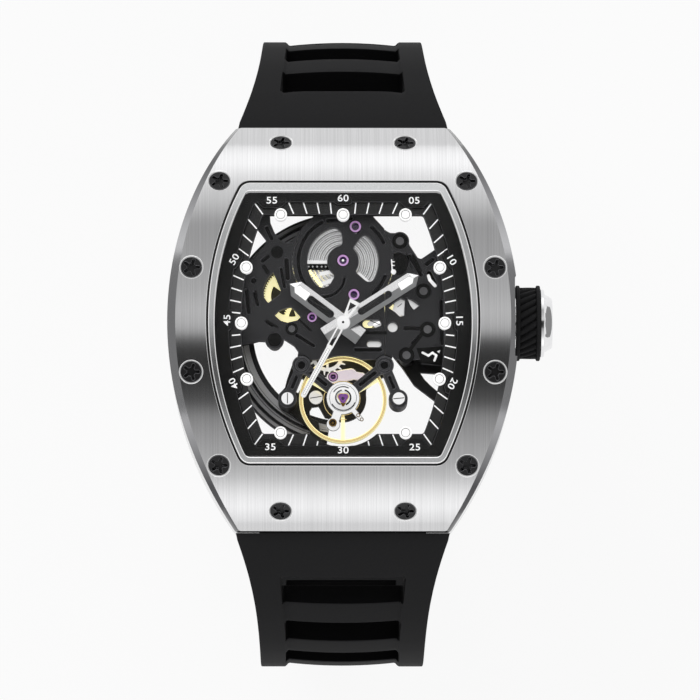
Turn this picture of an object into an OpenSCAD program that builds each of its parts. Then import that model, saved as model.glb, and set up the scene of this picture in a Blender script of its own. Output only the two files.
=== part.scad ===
// Automatic wristwatch: curved tonneau case, skeleton movement, ribbed rubber strap.
// Millimetres. The case back lies on z = 0 and the hands turn about the z axis.
// +Y points to 12 o'clock and +X to the crown.

/* [Case] */
// Width of the case from 9 to 3 o'clock
case_w = 43; // [42.5:0.1:45]
// Length of the case between its flat ends
case_l = 50.3; // [50:0.1:51]
// Thickness of the case at its middle
case_t = 15.3; // [15.2:0.05:15.8]
// Radius of the curved sides, seen from above
side_r = 42; // [40:0.5:46]
// Radius of the front curve over the dial
top_r = 44; // [43:0.5:47]
// Radius of the front curve toward the strap
end_r = 19; // [18.5:0.1:21]
// Thickness of the bezel
bezel_t = 2.4; // [2.2:0.05:2.6]
// Thickness of the case back
back_t = 1.6; // [1.5:0.05:1.7]
// Head diameter of the bezel screws
screw_d = 2.6; // [2.2:0.1:2.7]

/* [Dial opening] */
// Half width of the bezel opening
open_hw = 16.75; // [16.65:0.05:16.9]
// Half length of the bezel opening
open_hl = 17.6; // [17.5:0.05:17.7]
// Width of the black gasket line
gasket_w = 0.28; // [0.2:0.02:0.35]
// Width of the steel crystal frame
frame_w = 0.9; // [0.8:0.05:1]
// Thickness of the front crystal
crystal_t = 1.3; // [1:0.1:1.5]
// Half width of the window in the dial flange
dial_hw = 12.5; // [12.2:0.1:12.8]
// Half length of the window in the dial flange
dial_hl = 13.54; // [13.4:0.02:13.7]
// Diameter of the hour markers
marker_d = 1.7; // [1.4:0.1:1.9]

/* [Hands] */
// Length of the hour hand
hour_len = 8.2; // [6:0.1:9]
// Length of the minute hand
minute_len = 11; // [10:0.1:11.6]
// Length of the second hand
second_len = 10.5; // [9:0.1:11.6]
// Half width of the hour hand
hour_hw = 1.08; // [0.9:0.02:1.2]
// Half width of the minute hand
minute_hw = 0.96; // [0.8:0.02:1.1]

/* [Movement] */
// Distance from the hands to the barrel
barrel_y = 8; // [7.95:0.01:8.1]
// Distance from the hands to the balance
balance_y = 9; // [8.9:0.02:9.1]
// Outer radius of the balance rim
balance_r = 5.4; // [5.2:0.05:5.5]
// Outer radius of the rotor
rotor_r = 14.75; // [14.4:0.05:14.9]
// Turns of the mainspring
mainspring_turns = 5.5; // [4:0.5:5.5]
// Turns of the hairspring
hairspring_turns = 3.5; // [2.5:0.5:3.5]

/* [Crown] */
// Diameter of the rubber grip
grip_d = 8.5; // [8:0.1:9]
// Diameter of the two end ridges of the grip
ridge_d = 9.3; // [9.1:0.1:9.6]
// Length of the rubber grip
grip_l = 3; // [2.8:0.1:3.4]
// Travel of the crown when it is pulled out
crown_pull = 1.2; // [0.8:0.1:1.4]

/* [Strap] */
// Half width of the strap where it leaves the case
strap_hw = 13.5; // [13.2:0.1:13.8]
// Half width of the strap beyond its flare
tail_hw = 10.1; // [9.9:0.1:10.5]
// Thickness of the strap
strap_t = 3.4; // [3.2:0.1:3.6]
// Length of the strap half at 12 o'clock
upper_len = 60; // [58:0.5:62]
// Length of the strap half at 6 o'clock
lower_len = 80; // [77:0.5:81]
// Half width of the ribbed window
window_hw = 7.2; // [6.8:0.1:7.4]
// Pitch of the ribs along the strap
rib_pitch = 7.9; // [7.6:0.1:8.2]
// Length of a gap between two ribs
rib_gap = 4.2; // [3.9:0.1:4.5]
// Overall width of the buckle
buckle_w = 25; // [24.5:0.1:26]

/* [Hidden] */
$fn = 48;

// Small gaps
touch = 0.03;
fit = 0.02;
air = 0.1;

// Pivots and the blind holes that they run in
train_pivot_r = 0.1;
train_pivot = 0.7;
train_hole = train_pivot + air;
pallet_pivot_r = 0.08;
arbor_end = 0.55;
arbor_hole = arbor_end + 0.05;
bridge_hole = 0.5;
bridge_end = bridge_hole - 0.05;
winding_arbor_r = 0.3;
gear_arbor_r = 0.25;
ratchet_arbor_r = 0.7;
hands_hole_r = 0.3;

// Point at radius r and angle a
function polar(r, a) = [r * cos(a), r * sin(a)];
// Angle of the direction from p to q
function bearing(p, q) = atan2(q[1] - p[1], q[0] - p[0]);

// One quarter of a tonneau outline: side of radius r, flat end, corner of radius rc
side_steps = 16;
corner_steps = 4;
function quarter(hw, hl, r, rc) = let (
    sx = hw - r,
    cx = sx + sqrt(pow(r - rc, 2) - pow(hl - rc, 2)),
    a1 = atan2(hl - rc, cx - sx))
    concat([for (i = [0:side_steps]) [sx, 0] + polar(r, a1 * i / side_steps)],
        [for (j = [1:corner_steps]) [cx, hl - rc] + polar(rc, a1 + (90 - a1) * j / corner_steps)]);
function tonneau(hw, hl, r, rc) = let (q = quarter(hw, hl, r, rc), n = len(q))
    concat(q, [for (i = [n - 1:-1:0]) [-q[i][0], q[i][1]]],
        [for (i = [1:n - 1]) [-q[i][0], -q[i][1]]],
        [for (i = [n - 1:-1:1]) [q[i][0], -q[i][1]]]);
module tonneau_prism(hw, hl, r, rc, z0, z1)
    translate([0, 0, z0]) linear_extrude(z1 - z0) polygon(tonneau(hw, hl, r, rc));
// x of the case side at y
function side_x(y) = case_w / 2 - side_r + sqrt(side_r * side_r - y * y);

// Front curve of the case: its height, and its slope, at y
knee_y = open_hl - 0.3;
knee_s = knee_y / top_r;
function top_s(y) = abs(y) <= knee_y ? abs(y) / top_r : knee_s + (abs(y) - knee_y) / end_r;
function top_z(y) = case_t - (abs(y) <= knee_y
    ? top_r * (1 - sqrt(1 - pow(top_s(y), 2)))
    : top_r * (1 - sqrt(1 - knee_s * knee_s))
        + end_r * (sqrt(1 - knee_s * knee_s) - sqrt(1 - pow(top_s(y), 2))));
function slope(y) = sign(y) * asin(top_s(y));
curve_steps = 36;
curve_hl = case_l / 2 + 0.5;
curve_ys = [for (i = [0:curve_steps]) -curve_hl + 2 * curve_hl * i / curve_steps];
module along_x(x0, x1) translate([x0, 0, 0]) rotate([90, 0, 90]) linear_extrude(x1 - x0) children();
// Slab between two depths under the front curve
module curved_slab(d0, d1) along_x(-case_w, case_w)
    polygon(concat([for (y = curve_ys) [y, top_z(y) - d0]],
        [for (i = [curve_steps:-1:0]) [curve_ys[i], top_z(curve_ys[i]) - d1]]));
// Everything from z0 up to a depth under the front curve
module under_curve(d, z0) along_x(-case_w, case_w)
    polygon(concat([for (y = curve_ys) [y, top_z(y) - d]], [[curve_hl, z0], [-curve_hl, z0]]));
module at_surface(x, y, d = 0)
    translate([x, y, top_z(y)]) rotate([-slope(y), 0, 0]) translate([0, 0, -d]) children();

// Outlines that lie inside one another
case_hl = case_l / 2;
case_corner = 0.6;
open_r = 38;
open_corner = 1.7;
least_corner = 0.3;
module opening2d(inset)
    polygon(tonneau(open_hw - inset, open_hl - inset, open_r - inset, max(least_corner, open_corner - inset)));
module opening_prism(inset, z0, z1) translate([0, 0, z0]) linear_extrude(z1 - z0) opening2d(inset);
case_ledge = 0.4;
ring_w = 1.2;
cavity_inset = gasket_w + case_ledge;
plate_inset = cavity_inset + ring_w;
dial_r = 35.8;
dial_corner = 0.4;

// Levels, upward from the case back
glass_z0 = 0.6;
rotor_z0 = back_t + 0.35;
rotor_t = 1;
web_z0 = rotor_z0 + 0.35;
web_t = 0.4;
plate_z0 = rotor_z0 + rotor_t + 0.25;
plate_t = 1.2;
plate_z1 = plate_z0 + plate_t;
third_z = plate_z1 + 0.2;
fourth_z = third_z + 0.4;
ratchet_z = fourth_z + 0.2;
escape_z = fourth_z + 0.27;
centre_z = fourth_z + 0.6;
barrel_z = centre_z + 0.4;
barrel_h = 1.4;
motion_z = centre_z + 1.4;
bridge_z0 = barrel_z + barrel_h + 0.4;
bridge_t = 1;
bridge_z1 = bridge_z0 + bridge_t;
flange_z0 = bridge_z1 + 0.1;
flange_t = 2;
flange_z1 = flange_z0 + flange_t;
hour_z = bridge_z1 + 1.6;
hour_t = 0.4;
minute_z = hour_z + 0.7;
minute_t = 0.4;
second_z = minute_z + 0.75;
second_t = 0.22;
hub_z = second_z + 0.45;

// The see-through windows of each plate line up for a wearer who looks in from 6 o'clock
look_angle = 7;
function lean(z) = (hub_z - z) * tan(look_angle);

// Wheels of the train. A mesh sets the module from the distance of its two arbors.
hands = [0, 0];
barrel = [0, barrel_y];
third = [-3.8, 1.1];
escape = [-1.9, -3.3];
pallet = [-1.2, -6.1];
balance = [0, -balance_y];
minute_arbor = [2.13, -0.55];
barrel_n = 69;
centre_pinion_n = 20;
centre_n = 80;
third_pinion_n = 10;
third_n = 75;
fourth_pinion_n = 10;
fourth_n = 84;
escape_pinion_n = 7;
escape_n = 20;
cannon_n = 12;
minute_n = 36;
minute_pinion_n = 10;
hour_n = 40;
ratchet_n = 80;
rotor_gear_n = 68;
idler_n = 54;
crown_wheel_n = 34;
winding_m = 0.1;
winding_t = 0.3;
pinion_n = 14;
pinion_m = 0.115;
function mesh_m(p, q, na, nb) = 2 * norm(q - p) / (na + nb);
// Tooth angle of the second wheel of a mesh, from that of the first
function mesh_phase(p, q, na, nb, pa) = let (t = bearing(p, q))
    t + 180 - na / nb * (pa - t) - 180 / nb;
// Trapezoid teeth: root and tip heights in modules, half widths as shares of a pitch
root_h = 1.15;
tip_h = 0.9;
root_w = 0.3;
tip_w = 0.13;
module teeth(n, m, phase) polygon([for (i = [0:n - 1]) each let (
    a = phase + 360 * i / n, w = 360 / n, r0 = (n / 2 - root_h) * m, r1 = (n / 2 + tip_h) * m)
    [polar(r0, a - root_w * w), polar(r1, a - tip_w * w), polar(r1, a + tip_w * w),
        polar(r0, a + root_w * w)]]);
module spur(n, m, phase, t) linear_extrude(t) teeth(n, m, phase);
// Toothed wheel with its rim, hub, spokes and bore
module wheel(n, m, phase, t, spokes, hub, bore, rim = 0.45, spoke_w = 0.34) linear_extrude(t) {
    inner = (n / 2 - root_h) * m - rim;
    difference() {
        teeth(n, m, phase);
        circle(inner);
    }
    difference() {
        union() {
            circle(hub);
            for (i = [0:spokes - 1]) rotate(360 * i / spokes)
                translate([0, -spoke_w / 2]) square([inner + rim / 2, spoke_w]);
        }
        circle(bore);
    }
}
module rod(r, z0, z1) translate([0, 0, z0]) cylinder(r = r, h = z1 - z0);
module tube(r, bore, z0, z1) translate([0, 0, z0]) linear_extrude(z1 - z0) difference() {
    circle(r);
    circle(bore);
}
module at(p) translate([p[0], p[1], 0]) children();
// Straight bar with round ends, in the plane
bar_steps = 10;
module bar2d(p, q, w) {
    b = bearing(p, q);
    polygon(concat([for (i = [0:bar_steps]) p + polar(w / 2, b + 90 + 180 * i / bar_steps)],
        [for (i = [0:bar_steps]) q + polar(w / 2, b - 90 + 180 * i / bar_steps)]));
}
// Slice of a ring between two angles less than 180 degrees apart
module sector2d(r0, r1, a0, a1) {
    far = 2 * r1;
    am = (a0 + a1) / 2;
    intersection() {
        difference() {
            circle(r1, $fn = 96);
            circle(r0, $fn = 96);
        }
        polygon([[0, 0], polar(far, a0), polar(far, am), polar(far, a1)]);
    }
}
// Flat spiral strip from r0 to r1
spiral_steps = 26;
function spiral(r0, r1, turns, w, a0, side) = [for (i = [0:turns * spiral_steps])
    let (s = i / (turns * spiral_steps)) polar(r0 + (r1 - r0) * s + side * w / 2, a0 + 360 * turns * s)];
function reversed(v) = [for (i = [len(v) - 1:-1:0]) v[i]];
module spiral_strip(r0, r1, turns, w, a0, t) linear_extrude(t)
    polygon(concat(spiral(r0, r1, turns, w, a0, 1), reversed(spiral(r0, r1, turns, w, a0, -1))));

// Case
screw_inset = 2.45;
end_screw_x = 7.65;
end_screw_y = case_hl - 2.25;
corner_screw_y = 17.6;
side_screw_y = 6.45;
screw_spots = [[end_screw_x, end_screw_y], [side_x(corner_screw_y) - screw_inset, corner_screw_y],
    [side_x(side_screw_y) - screw_inset, side_screw_y]];
screw_head = 1.1;
head_sink = 0.05;
recess_depth = 0.6;
screw_shaft_r = 0.6;
screw_len = 5;
module bezel_screw_places() for (p = screw_spots, sx = [-1, 1], sy = [-1, 1])
    at_surface(sx * p[0], sy * p[1]) children();
module bezel_screw_bores(extra) bezel_screw_places() {
    rod(screw_d / 2 + extra, -screw_head - extra, 1);
    rod(screw_shaft_r + extra, -screw_len - extra, 0);
}

// Hinge line of a strap half, inside the end of the case
pivot_y = case_hl - 2.15;
pivot_z = 1.5;
pivot_r = 0.6;
knuckle_r = 1.35;
knuckle_hw = 10.4;
strap_seat_r = 3.8;
module strap_recess(s) along_x(-knuckle_hw - air, knuckle_hw + air) {
    translate([s * pivot_y, pivot_z]) circle(knuckle_r + 0.15);
    translate([s > 0 ? pivot_y : -pivot_y - strap_seat_r, -1])
        square([strap_seat_r, pivot_z + 1 + knuckle_r + 0.15]);
}
pin_hw = knuckle_hw + 1.6;
module strap_pin_bores(extra) for (s = [-1, 1]) translate([0, s * pivot_y, pivot_z])
    rotate([0, 90, 0]) translate([0, 0, -pin_hw - extra])
        cylinder(r = pivot_r + extra, h = 2 * (pin_hw + extra));

// Crown axis and its notch in the case
crown_y = 0.6;
crown_z = ratchet_z + winding_t + (pinion_n / 2 + tip_h) * pinion_m + touch;
notch_depth = 0.5;
notch_hl = 5;
tube_r = 1.9;
stem_r = 0.55;
tube_x0 = open_hw - 0.5;
collar_x = case_w / 2 - notch_depth;
module crown_axis(x) translate([x, crown_y, crown_z]) rotate([0, 90, 0]) children();
module crown_notch() translate([collar_x, crown_y - notch_hl, -1])
    cube([notch_depth + 1, 2 * notch_hl, case_t + 2]);

module bezel() color("#C9CACB") difference() {
    intersection() {
        curved_slab(0, bezel_t);
        tonneau_prism(case_w / 2, case_hl, side_r, case_corner, -1, case_t + 1);
    }
    opening_prism(0, -1, case_t + 1);
    bezel_screw_bores(touch);
    crown_notch();
}

back_hw = case_w / 2 - 1.4;
back_hl = pivot_y - 2;
back_corner = 3;
module mid_case() color("#B9BBBD") difference() {
    intersection() {
        under_curve(bezel_t, 0);
        tonneau_prism(case_w / 2, case_hl, side_r, case_corner, -1, case_t + 1);
    }
    opening_prism(cavity_inset, -1, case_t + 1);
    tonneau_prism(back_hw + touch, back_hl + touch, side_r, back_corner, -1, back_t);
    bezel_screw_bores(touch);
    for (s = [-1, 1]) strap_recess(s);
    strap_pin_bores(fit);
    crown_notch();
    crown_axis(tube_x0 - 2) cylinder(r = tube_r, h = case_w);
    back_screw_places() rod(back_shaft_r + touch, back_t - 1, back_t + back_screw_len + air);
}

back_screw_spots = [[6.5, back_hl - 1.3], [back_hw - 3.3, 12], [back_hw - 1.6, 4.4]];
module back_screw_places() for (p = back_screw_spots, sx = [-1, 1], sy = [-1, 1])
    translate([sx * p[0], sy * p[1], 0]) children();
back_screw_r = 1;
back_screw_head = 0.7;
back_shaft_r = 0.5;
back_screw_len = 1.5;
back_open_hw = dial_hw + 1.1;
back_open_hl = dial_hl + 1.6;
back_open_corner = 1.4;
back_glass_lip = 0.6;
back_glass_corner = 2;
module case_back() color("#AEB0B2") difference() {
    tonneau_prism(back_hw, back_hl, side_r, back_corner, 0, back_t);
    tonneau_prism(back_open_hw, back_open_hl, dial_r, back_open_corner, -1, back_t + 1);
    back_glass(back_t + 1);
    back_screw_places() {
        rod(back_screw_r + touch, -1, back_screw_head + touch);
        rod(back_shaft_r + touch, 0, back_t + 1);
    }
}
module back_glass(z1) tonneau_prism(back_open_hw + back_glass_lip, back_open_hl + back_glass_lip,
    dial_r, back_glass_corner, glass_z0, z1);
module back_crystal() color("#DCE8EE", 0.35) back_glass(back_t - 0.05);

// Screw head with a five-lobed recess
module lobed_head(r, h, depth) difference() {
    cylinder(r = r, h = h);
    translate([0, 0, h - depth]) linear_extrude(depth + 1) {
        circle(0.4 * r);
        for (i = [0:4]) rotate(72 * i) bar2d([0, 0], [0.68 * r, 0], 0.3 * r);
    }
}
module bezel_screws() color("#2B2B2D") bezel_screw_places() {
    translate([0, 0, -screw_head]) lobed_head(screw_d / 2, screw_head - head_sink, recess_depth);
    rod(screw_shaft_r, -screw_len, -screw_head);
}
module back_screws() color("#2B2B2D") back_screw_places() rotate([180, 0, 0]) {
    translate([0, 0, -back_screw_head])
        lobed_head(back_screw_r, back_screw_head - head_sink, recess_depth / 2);
    rod(back_shaft_r, -back_t - back_screw_len, -back_screw_head);
}

gasket_sink = 0.2;
frame_sink = 0.02;
crystal_sink = 0.12;
module crystal_gasket() color("#101010") difference() {
    intersection() {
        curved_slab(gasket_sink, bezel_t);
        opening_prism(0, 0, case_t);
    }
    opening_prism(gasket_w, 0, case_t + 1);
}
module crystal_frame() color("#D5D6D7") difference() {
    intersection() {
        curved_slab(frame_sink, bezel_t);
        opening_prism(gasket_w, 0, case_t + 1);
    }
    opening_prism(gasket_w + frame_w, 0, case_t + 1);
}
module front_crystal() color("#DCE8EE", 0.3) intersection() {
    curved_slab(crystal_sink, crystal_sink + crystal_t);
    opening_prism(gasket_w + frame_w, 0, case_t + 1);
}

// Dial flange: a stepped ring with a recessed minute track and a bay for the balance
track_w = 1.5;
track_depth = 0.45;
bay_air = 0.9;
bay_r = balance_r + bay_air;
flange_inset = cavity_inset + 0.03;
module dial_flange() color("#1E1E1F") difference() {
    intersection() {
        opening_prism(flange_inset, flange_z0, case_t);
        under_curve(bezel_t + 0.1, flange_z0);
        translate([-case_w, -case_w, 0]) cube([2 * case_w, 2 * case_w, flange_z1]);
    }
    tonneau_prism(dial_hw, dial_hl, dial_r, dial_corner, 0, case_t);
    tonneau_prism(dial_hw + track_w, dial_hl + track_w, dial_r + track_w, 2 * dial_corner,
        flange_z1 - track_depth, case_t);
    at(balance) rod(bay_r, 0, case_t);
    for (p = marker_spots) at(p)
        rod(marker_d / 2 + fit, flange_z1 - track_depth - marker_foot - fit, case_t);
}
// Hour markers, one for each five minutes but none at 30
marker_row = dial_hl - 0.12;
marker_x = 7.66;
marker_side = [[dial_hw - 0.62, 6.95], [dial_hw - 0.02, 0.06], [dial_hw - 0.7, -6.85]];
marker_half = concat([[marker_x, marker_row]], marker_side, [[marker_x, -marker_row]]);
marker_spots = concat([[0, marker_row]], marker_half, [for (p = marker_half) [-p[0], p[1]]]);
marker_foot = 0.48;
marker_rise = 0.3;
module hour_markers() color("#F4F4F2") for (p = marker_spots) at(p)
    rod(marker_d / 2, flange_z1 - track_depth - marker_foot, flange_z1 + marker_rise);

// Ring that holds the movement in the case
ring_z1 = flange_z0 - touch;
module movement_ring() color("#8C8E90") difference() {
    opening_prism(flange_inset, plate_z0, ring_z1);
    opening_prism(plate_inset - touch, -1, case_t);
    crown_axis(0) cylinder(r = tube_r + 0.1, h = case_w);
}

// Outlines of the see-through windows, as they are seen past the flange
window_top_left = [[-9.05, 13.9], [-8.95, 12.3], [-8.4, 11], [-7.8, 10.15], [-6.9, 9.75],
    [-6.2, 9.95], [-5.8, 10.6], [-5.2, 11.5], [-4.3, 12.4], [-2.9, 13.9]];
window_left = [[-10.9, 12], [-9.5, 10.2], [-9.5, 9.7], [-11, 7.9], [-12.2, 7.8], [-12, 9.6]];
window_top_right = [[3.2, 13.9], [3.2, 16], [11.6, 16], [12.2, 13], [12.8, 9.3], [11.3, 8.95],
    [10, 8.05], [9.6, 7.8], [9.2, 7.95], [8.2, 9.5], [7.9, 10.4], [7.2, 11], [5.8, 11.02], [5.3, 11.3], [4.6, 12.1],
    [3.8, 12.95]];
window_low_left = [[-13.4, -3.2], [-10.3, -2.4], [-9.5, -2.45], [-7.4, -2.1], [-6.9, -2.4],
    [-6, -3], [-5.5, -3.7], [-5.6, -4.4], [-6.2, -5.2], [-6.9, -7.2], [-7.15, -8.2], [-7.9, -9],
    [-7.8, -10.6], [-6.2, -11.6], [-4, -13.4], [-4.4, -15.2], [-13.4, -15.2]];
window_low_right = [[6.1, -4.2], [7.3, -5.7], [8.8, -7.9], [12.6, -10.8], [12.6, -15.7],
    [-2.5, -15.7], [-3, -12.4], [-4, -11.9], [-4.1, -11.1], [-3.8, -10.6], [-3, -10.5],
    [-2.2, -11.9], [0, -12.2], [2, -11.4], [2.85, -9.6], [2.9, -8.3], [4.6, -7.1], [5.4, -6.6]];
window_balance_left = [[-5, -7], [-5.6, -7.4], [-5.95, -8.1], [-5.8, -8.7], [-5.3, -9],
    [-4.7, -8.4], [-4.6, -7.5]];
window_right = [[9.5, -6.3], [12.4, -6.5], [12.4, -9.2], [11.5, -8.5], [10.8, -7.9], [10.1, -7.2]];
module big_windows() {
    polygon(window_top_left);
    polygon(window_left);
    polygon(window_top_right);
    polygon(window_low_left);
    polygon(window_low_right);
    polygon(window_balance_left);
    polygon(window_right);
}
// Small windows: two over the rotor gear, two over the setting lever, three more on the right
window_gear_high = [[-8.6, 6.1], [-8.2, 5.3], [-7.65, 3.9], [-7.75, 3.4], [-9.2, 2.35],
    [-9.7, 3], [-9.8, 4.2], [-9.3, 5.3]];
window_gear_low = [[-8.4, 0.8], [-7.9, 1.3], [-7, 1.7], [-6.4, 1.8], [-5.9, 1.4], [-5.2, 0.6],
    [-5.6, 0.2], [-6.8, -0.1], [-7.6, 0.1]];
window_lever = [[5.6, 1.75], [6.4, 1.2], [7, 0.65], [7.5, 0.75], [7.6, 2.7], [7.1, 2.9], [6.3, 2.4]];
window_lever_tip = [[7.9, 2.95], [8.5, 2.7], [9.4, 2.05], [8.7, 1.5], [8.3, 2]];
module small_windows() {
    polygon(window_gear_high);
    polygon(window_gear_low);
    polygon(window_lever);
    polygon(window_lever_tip);
    bar2d([2.9, -0.25], [4.2, -0.25], 1);
    translate([6.1, -0.65]) circle(0.62);
    bar2d([3.35, -2.75], [4.3, -2.75], 0.85);
    bar2d([10.6, 6], [11.3, 4.6], 0.6);
    bar2d([10.2, -4], [11.2, -3.6], 1);
}

// Pillars that carry the bridges, and the feet of the balance bridge
bridge_shaft_r = 0.3;
bridge_screw_len = 1.4;
foot_shaft_r = 0.4;
pillars = [[-8.1, 9.1], [7, 10.5], [9.9, 4.3], [7.8, -3.65], [-8.4, -1.75], [-3.2, 14.9],
    [3.2, 14.9]];
pillar_r = 0.85;
hidden_pillar_r = 0.45;
function pillar_rad(p) = p[1] > 14 ? hidden_pillar_r : pillar_r;
foot_x = 6.8;
feet = [[-foot_x, -balance_y - 0.05], [foot_x, -balance_y - 0.05]];
elbow_x = 5.1;
elbows = [[-elbow_x, -4.9], [elbow_x, -4.9]];
foot_r = 1.15;
under_disc_r = 2.9;
plate_mid = (plate_z0 + plate_z1) / 2;
module main_plate() color("#262627") difference() {
    union() {
        translate([0, 0, plate_z0]) linear_extrude(plate_t) {
            difference() {
                opening2d(plate_inset);
                translate([0, lean(plate_mid)]) big_windows();
            }
            translate([0, lean(plate_z1) - lean(bridge_z1)]) for (i = [0, 1]) {
                bar2d(elbows[i], feet[i], arm_w);
                translate(feet[i]) circle(foot_r);
            }
            translate(balance + [0, lean(plate_z1) - lean(bridge_z1)]) circle(under_disc_r);
        }
        for (p = pillars) at(p) rod(pillar_rad(p), plate_z1 - 0.1, bridge_z0);
        for (p = feet) at(p) rod(foot_r, plate_z1 - 0.1, balance_bridge_z0);
    }
    at(hands) rod(hands_hole_r, 0, case_t);
    for (p = [third, escape, pallet, balance]) at(p)
        rod(train_pivot_r + 2 * fit, plate_z1 - train_hole, case_t);
    for (p = pillars) at(p) rod(bridge_shaft_r, bridge_z0 - bridge_screw_len - air, case_t);
    for (p = feet) at(p) rod(foot_shaft_r, balance_bridge_z0 - bridge_screw_len - air, case_t);
    for (p = [idler, crown_wheel_at]) at(p)
        rod(winding_arbor_r + fit, plate_z1 - arbor_hole, case_t);
    at(rotor_gear_at) rod(gear_arbor_r + fit, plate_z1 - arbor_hole, case_t);
    at(barrel) rod(ratchet_arbor_r + fit, plate_z1 - arbor_hole, case_t);
}

// Upper bridges, cut from one outline along their seams
seam = 0.06;
barrel_bridge_r = 6.2;
split_x = 5.1;
bridge_mid = (bridge_z0 + bridge_z1) / 2;
balance_clear_r = balance_r - 0.1;
pipe_hole_r = 0.88;
module upper_outline() difference() {
    opening2d(plate_inset);
    translate([0, lean(bridge_mid)]) {
        difference() {
            big_windows();
            for (p = pillars) translate([0, -lean(bridge_mid)]) translate(p) circle(pillar_r + 0.3);
        }
        small_windows();
    }
    translate(balance) circle(balance_clear_r);
    for (p = elbows) translate(p) circle(foot_r + air);
    translate([-case_w, -case_w - 4.2]) square([2 * case_w, case_w]);
}
module barrel_region(grow) {
    translate(barrel) circle(barrel_bridge_r + grow);
    translate([-5.2 - grow, barrel_y]) square([split_x + 5.2 + grow, case_w]);
}
pocket_depth = 0.4;
head_depth = 0.45;
module pocket(p, q, w) at([0, lean(bridge_z1)])
    translate([0, 0, bridge_z1 - pocket_depth]) linear_extrude(1) bar2d(p, q, w);
module screw_sink(p, r) at(p) rod(r, bridge_z1 - head_depth, bridge_z1 + 1);
module bridge_screw_bores() for (p = bridge_screw_spots) at(p) rod(bridge_shaft_r + touch, 0, case_t);
// Kidney-shaped window: a slice of a ring whose outer and inner corners are rounded
kidney_steps = 24;
function arc_points(c, r, a0, a1, n) = [for (i = [0:n]) c + polar(r, a0 + (a1 - a0) * i / n)];
module kidney2d(r0, r1, a0, a1, rc0, rc1) {
    d0 = asin(rc0 / (r0 + rc0));
    d1 = asin(rc1 / (r1 - rc1));
    polygon(concat(arc_points([0, 0], r1, a0 + d1, a1 - d1, kidney_steps),
        arc_points(polar(r1 - rc1, a1 - d1), rc1, a1 - d1 + 10, a1 + 90, corner_steps),
        arc_points(polar(r0 + rc0, a1 - d0), rc0, a1 + 90, a1 - d0 + 170, corner_steps),
        arc_points([0, 0], r0, a1 - d0, a0 + d0, kidney_steps),
        arc_points(polar(r0 + rc0, a0 + d0), rc0, a0 + d0 + 190, a0 + 270, corner_steps),
        arc_points(polar(r1 - rc1, a0 + d1), rc1, a0 - 90, a0 + d1 - 10, corner_steps)));
}
// Curved groove with round ends, round the centre c
module arc_groove(c, r, w, a0, a1) at(c) translate([0, 0, bridge_z1 - head_depth]) linear_extrude(1) {
    cap = 90 / corner_steps;
    polygon(concat(arc_points([0, 0], r + w / 2, a0, a1, kidney_steps),
        arc_points(polar(r, a1), w / 2, a1 + cap, a1 + 180 - cap, corner_steps),
        arc_points([0, 0], r - w / 2, a1, a0, kidney_steps),
        arc_points(polar(r, a0), w / 2, a0 + 180 + cap, a0 + 360 - cap, corner_steps)));
}
kidney_r0 = 1.95;
kidney_r1 = 4.4;
kidney_left = [92, 241];
kidney_right = [-41, 54];
groove_r = 5.5;
groove_w = 0.5;
jewel_hole_r = 0.62;
centre_jewel_r = 0.6;
third_jewel_r = 0.5;
left_hook = [-2.4, 5.75];
module barrel_bridge() color("#2A2A2C") difference() {
    translate([0, 0, bridge_z0]) linear_extrude(bridge_t) difference() {
        intersection() {
            upper_outline();
            barrel_region(0);
        }
        translate(barrel) {
            kidney2d(kidney_r0, kidney_r1, kidney_left[0], kidney_left[1], 0.5, 1.1);
            kidney2d(kidney_r0, kidney_r1, kidney_right[0], kidney_right[1], 0.4, 0.7);
        }
    }
    at(barrel) rod(centre_jewel_r, 0, case_t);
    arc_groove(barrel, groove_r, groove_w, 118, 216);
    arc_groove(barrel, groove_r, groove_w, 25, 50);
    arc_groove(barrel, groove_r, groove_w, -47, -20);
    arc_groove(left_hook + [0, lean(bridge_z1)], 2.6, 0.38, -96, -8);
    for (p = [jewel_high, jewel_low]) at(p) rod(jewel_hole_r, 0, case_t);
    bridge_screw_bores();
    for (p = pillars) screw_sink(p, p[1] > 14 ? 0.55 : 0.1);
    pocket([-1.9, 12.6], [1.0, 12.9], 0.5);
}
module train_bridge() color("#262628") difference() {
    translate([0, 0, bridge_z0]) linear_extrude(bridge_t) difference() {
        upper_outline();
        barrel_region(seam);
        translate([split_x, -case_w / 2]) square([case_w, 1.5 * case_w]);
        circle(pipe_hole_r);
    }
    at(third) rod(third_jewel_r, 0, case_t);
    at(escape) rod(train_pivot_r + 2 * fit, 0, bridge_z0 + bridge_hole);
    at(rotor_gear_at) rod(gear_arbor_r + fit, 0, bridge_z0 + bridge_hole);
    bridge_screw_bores();
    for (p = pillars) screw_sink(p, p[0] < 0 ? 0.85 : 0.1);
    screw_sink(left_screw, 0.6);
    pocket([-6.95, 7.7], [-6.8, 5.5], 0.62);
    pocket([-7.6, 6.6], [-7.2, 4.4], 0.45);
    pocket([-9.9, 7.6], [-9, 8.3], 0.5);
    pocket([-10.9, 3.6], [-10.5, 2.2], 0.4);
    pocket([-11.9, 3.9], [-11.6, 1.2], 0.5);
    pocket([-9.4, 11.7], [-8.8, 10.4], 0.5);
    pocket([-11, 5.2], [-11, 5.1], 0.7);
    pocket([-9.4, 0.1], [-8.7, -0.4], 0.4);
    pocket([-5.7, -1.6], [-3.6, -2.9], 0.45);
    pocket([1.6, -3.4], [4.6, -3.4], 0.5);
    pocket([3.2, -1.3], [4.6, -1.3], 0.35);
}
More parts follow.
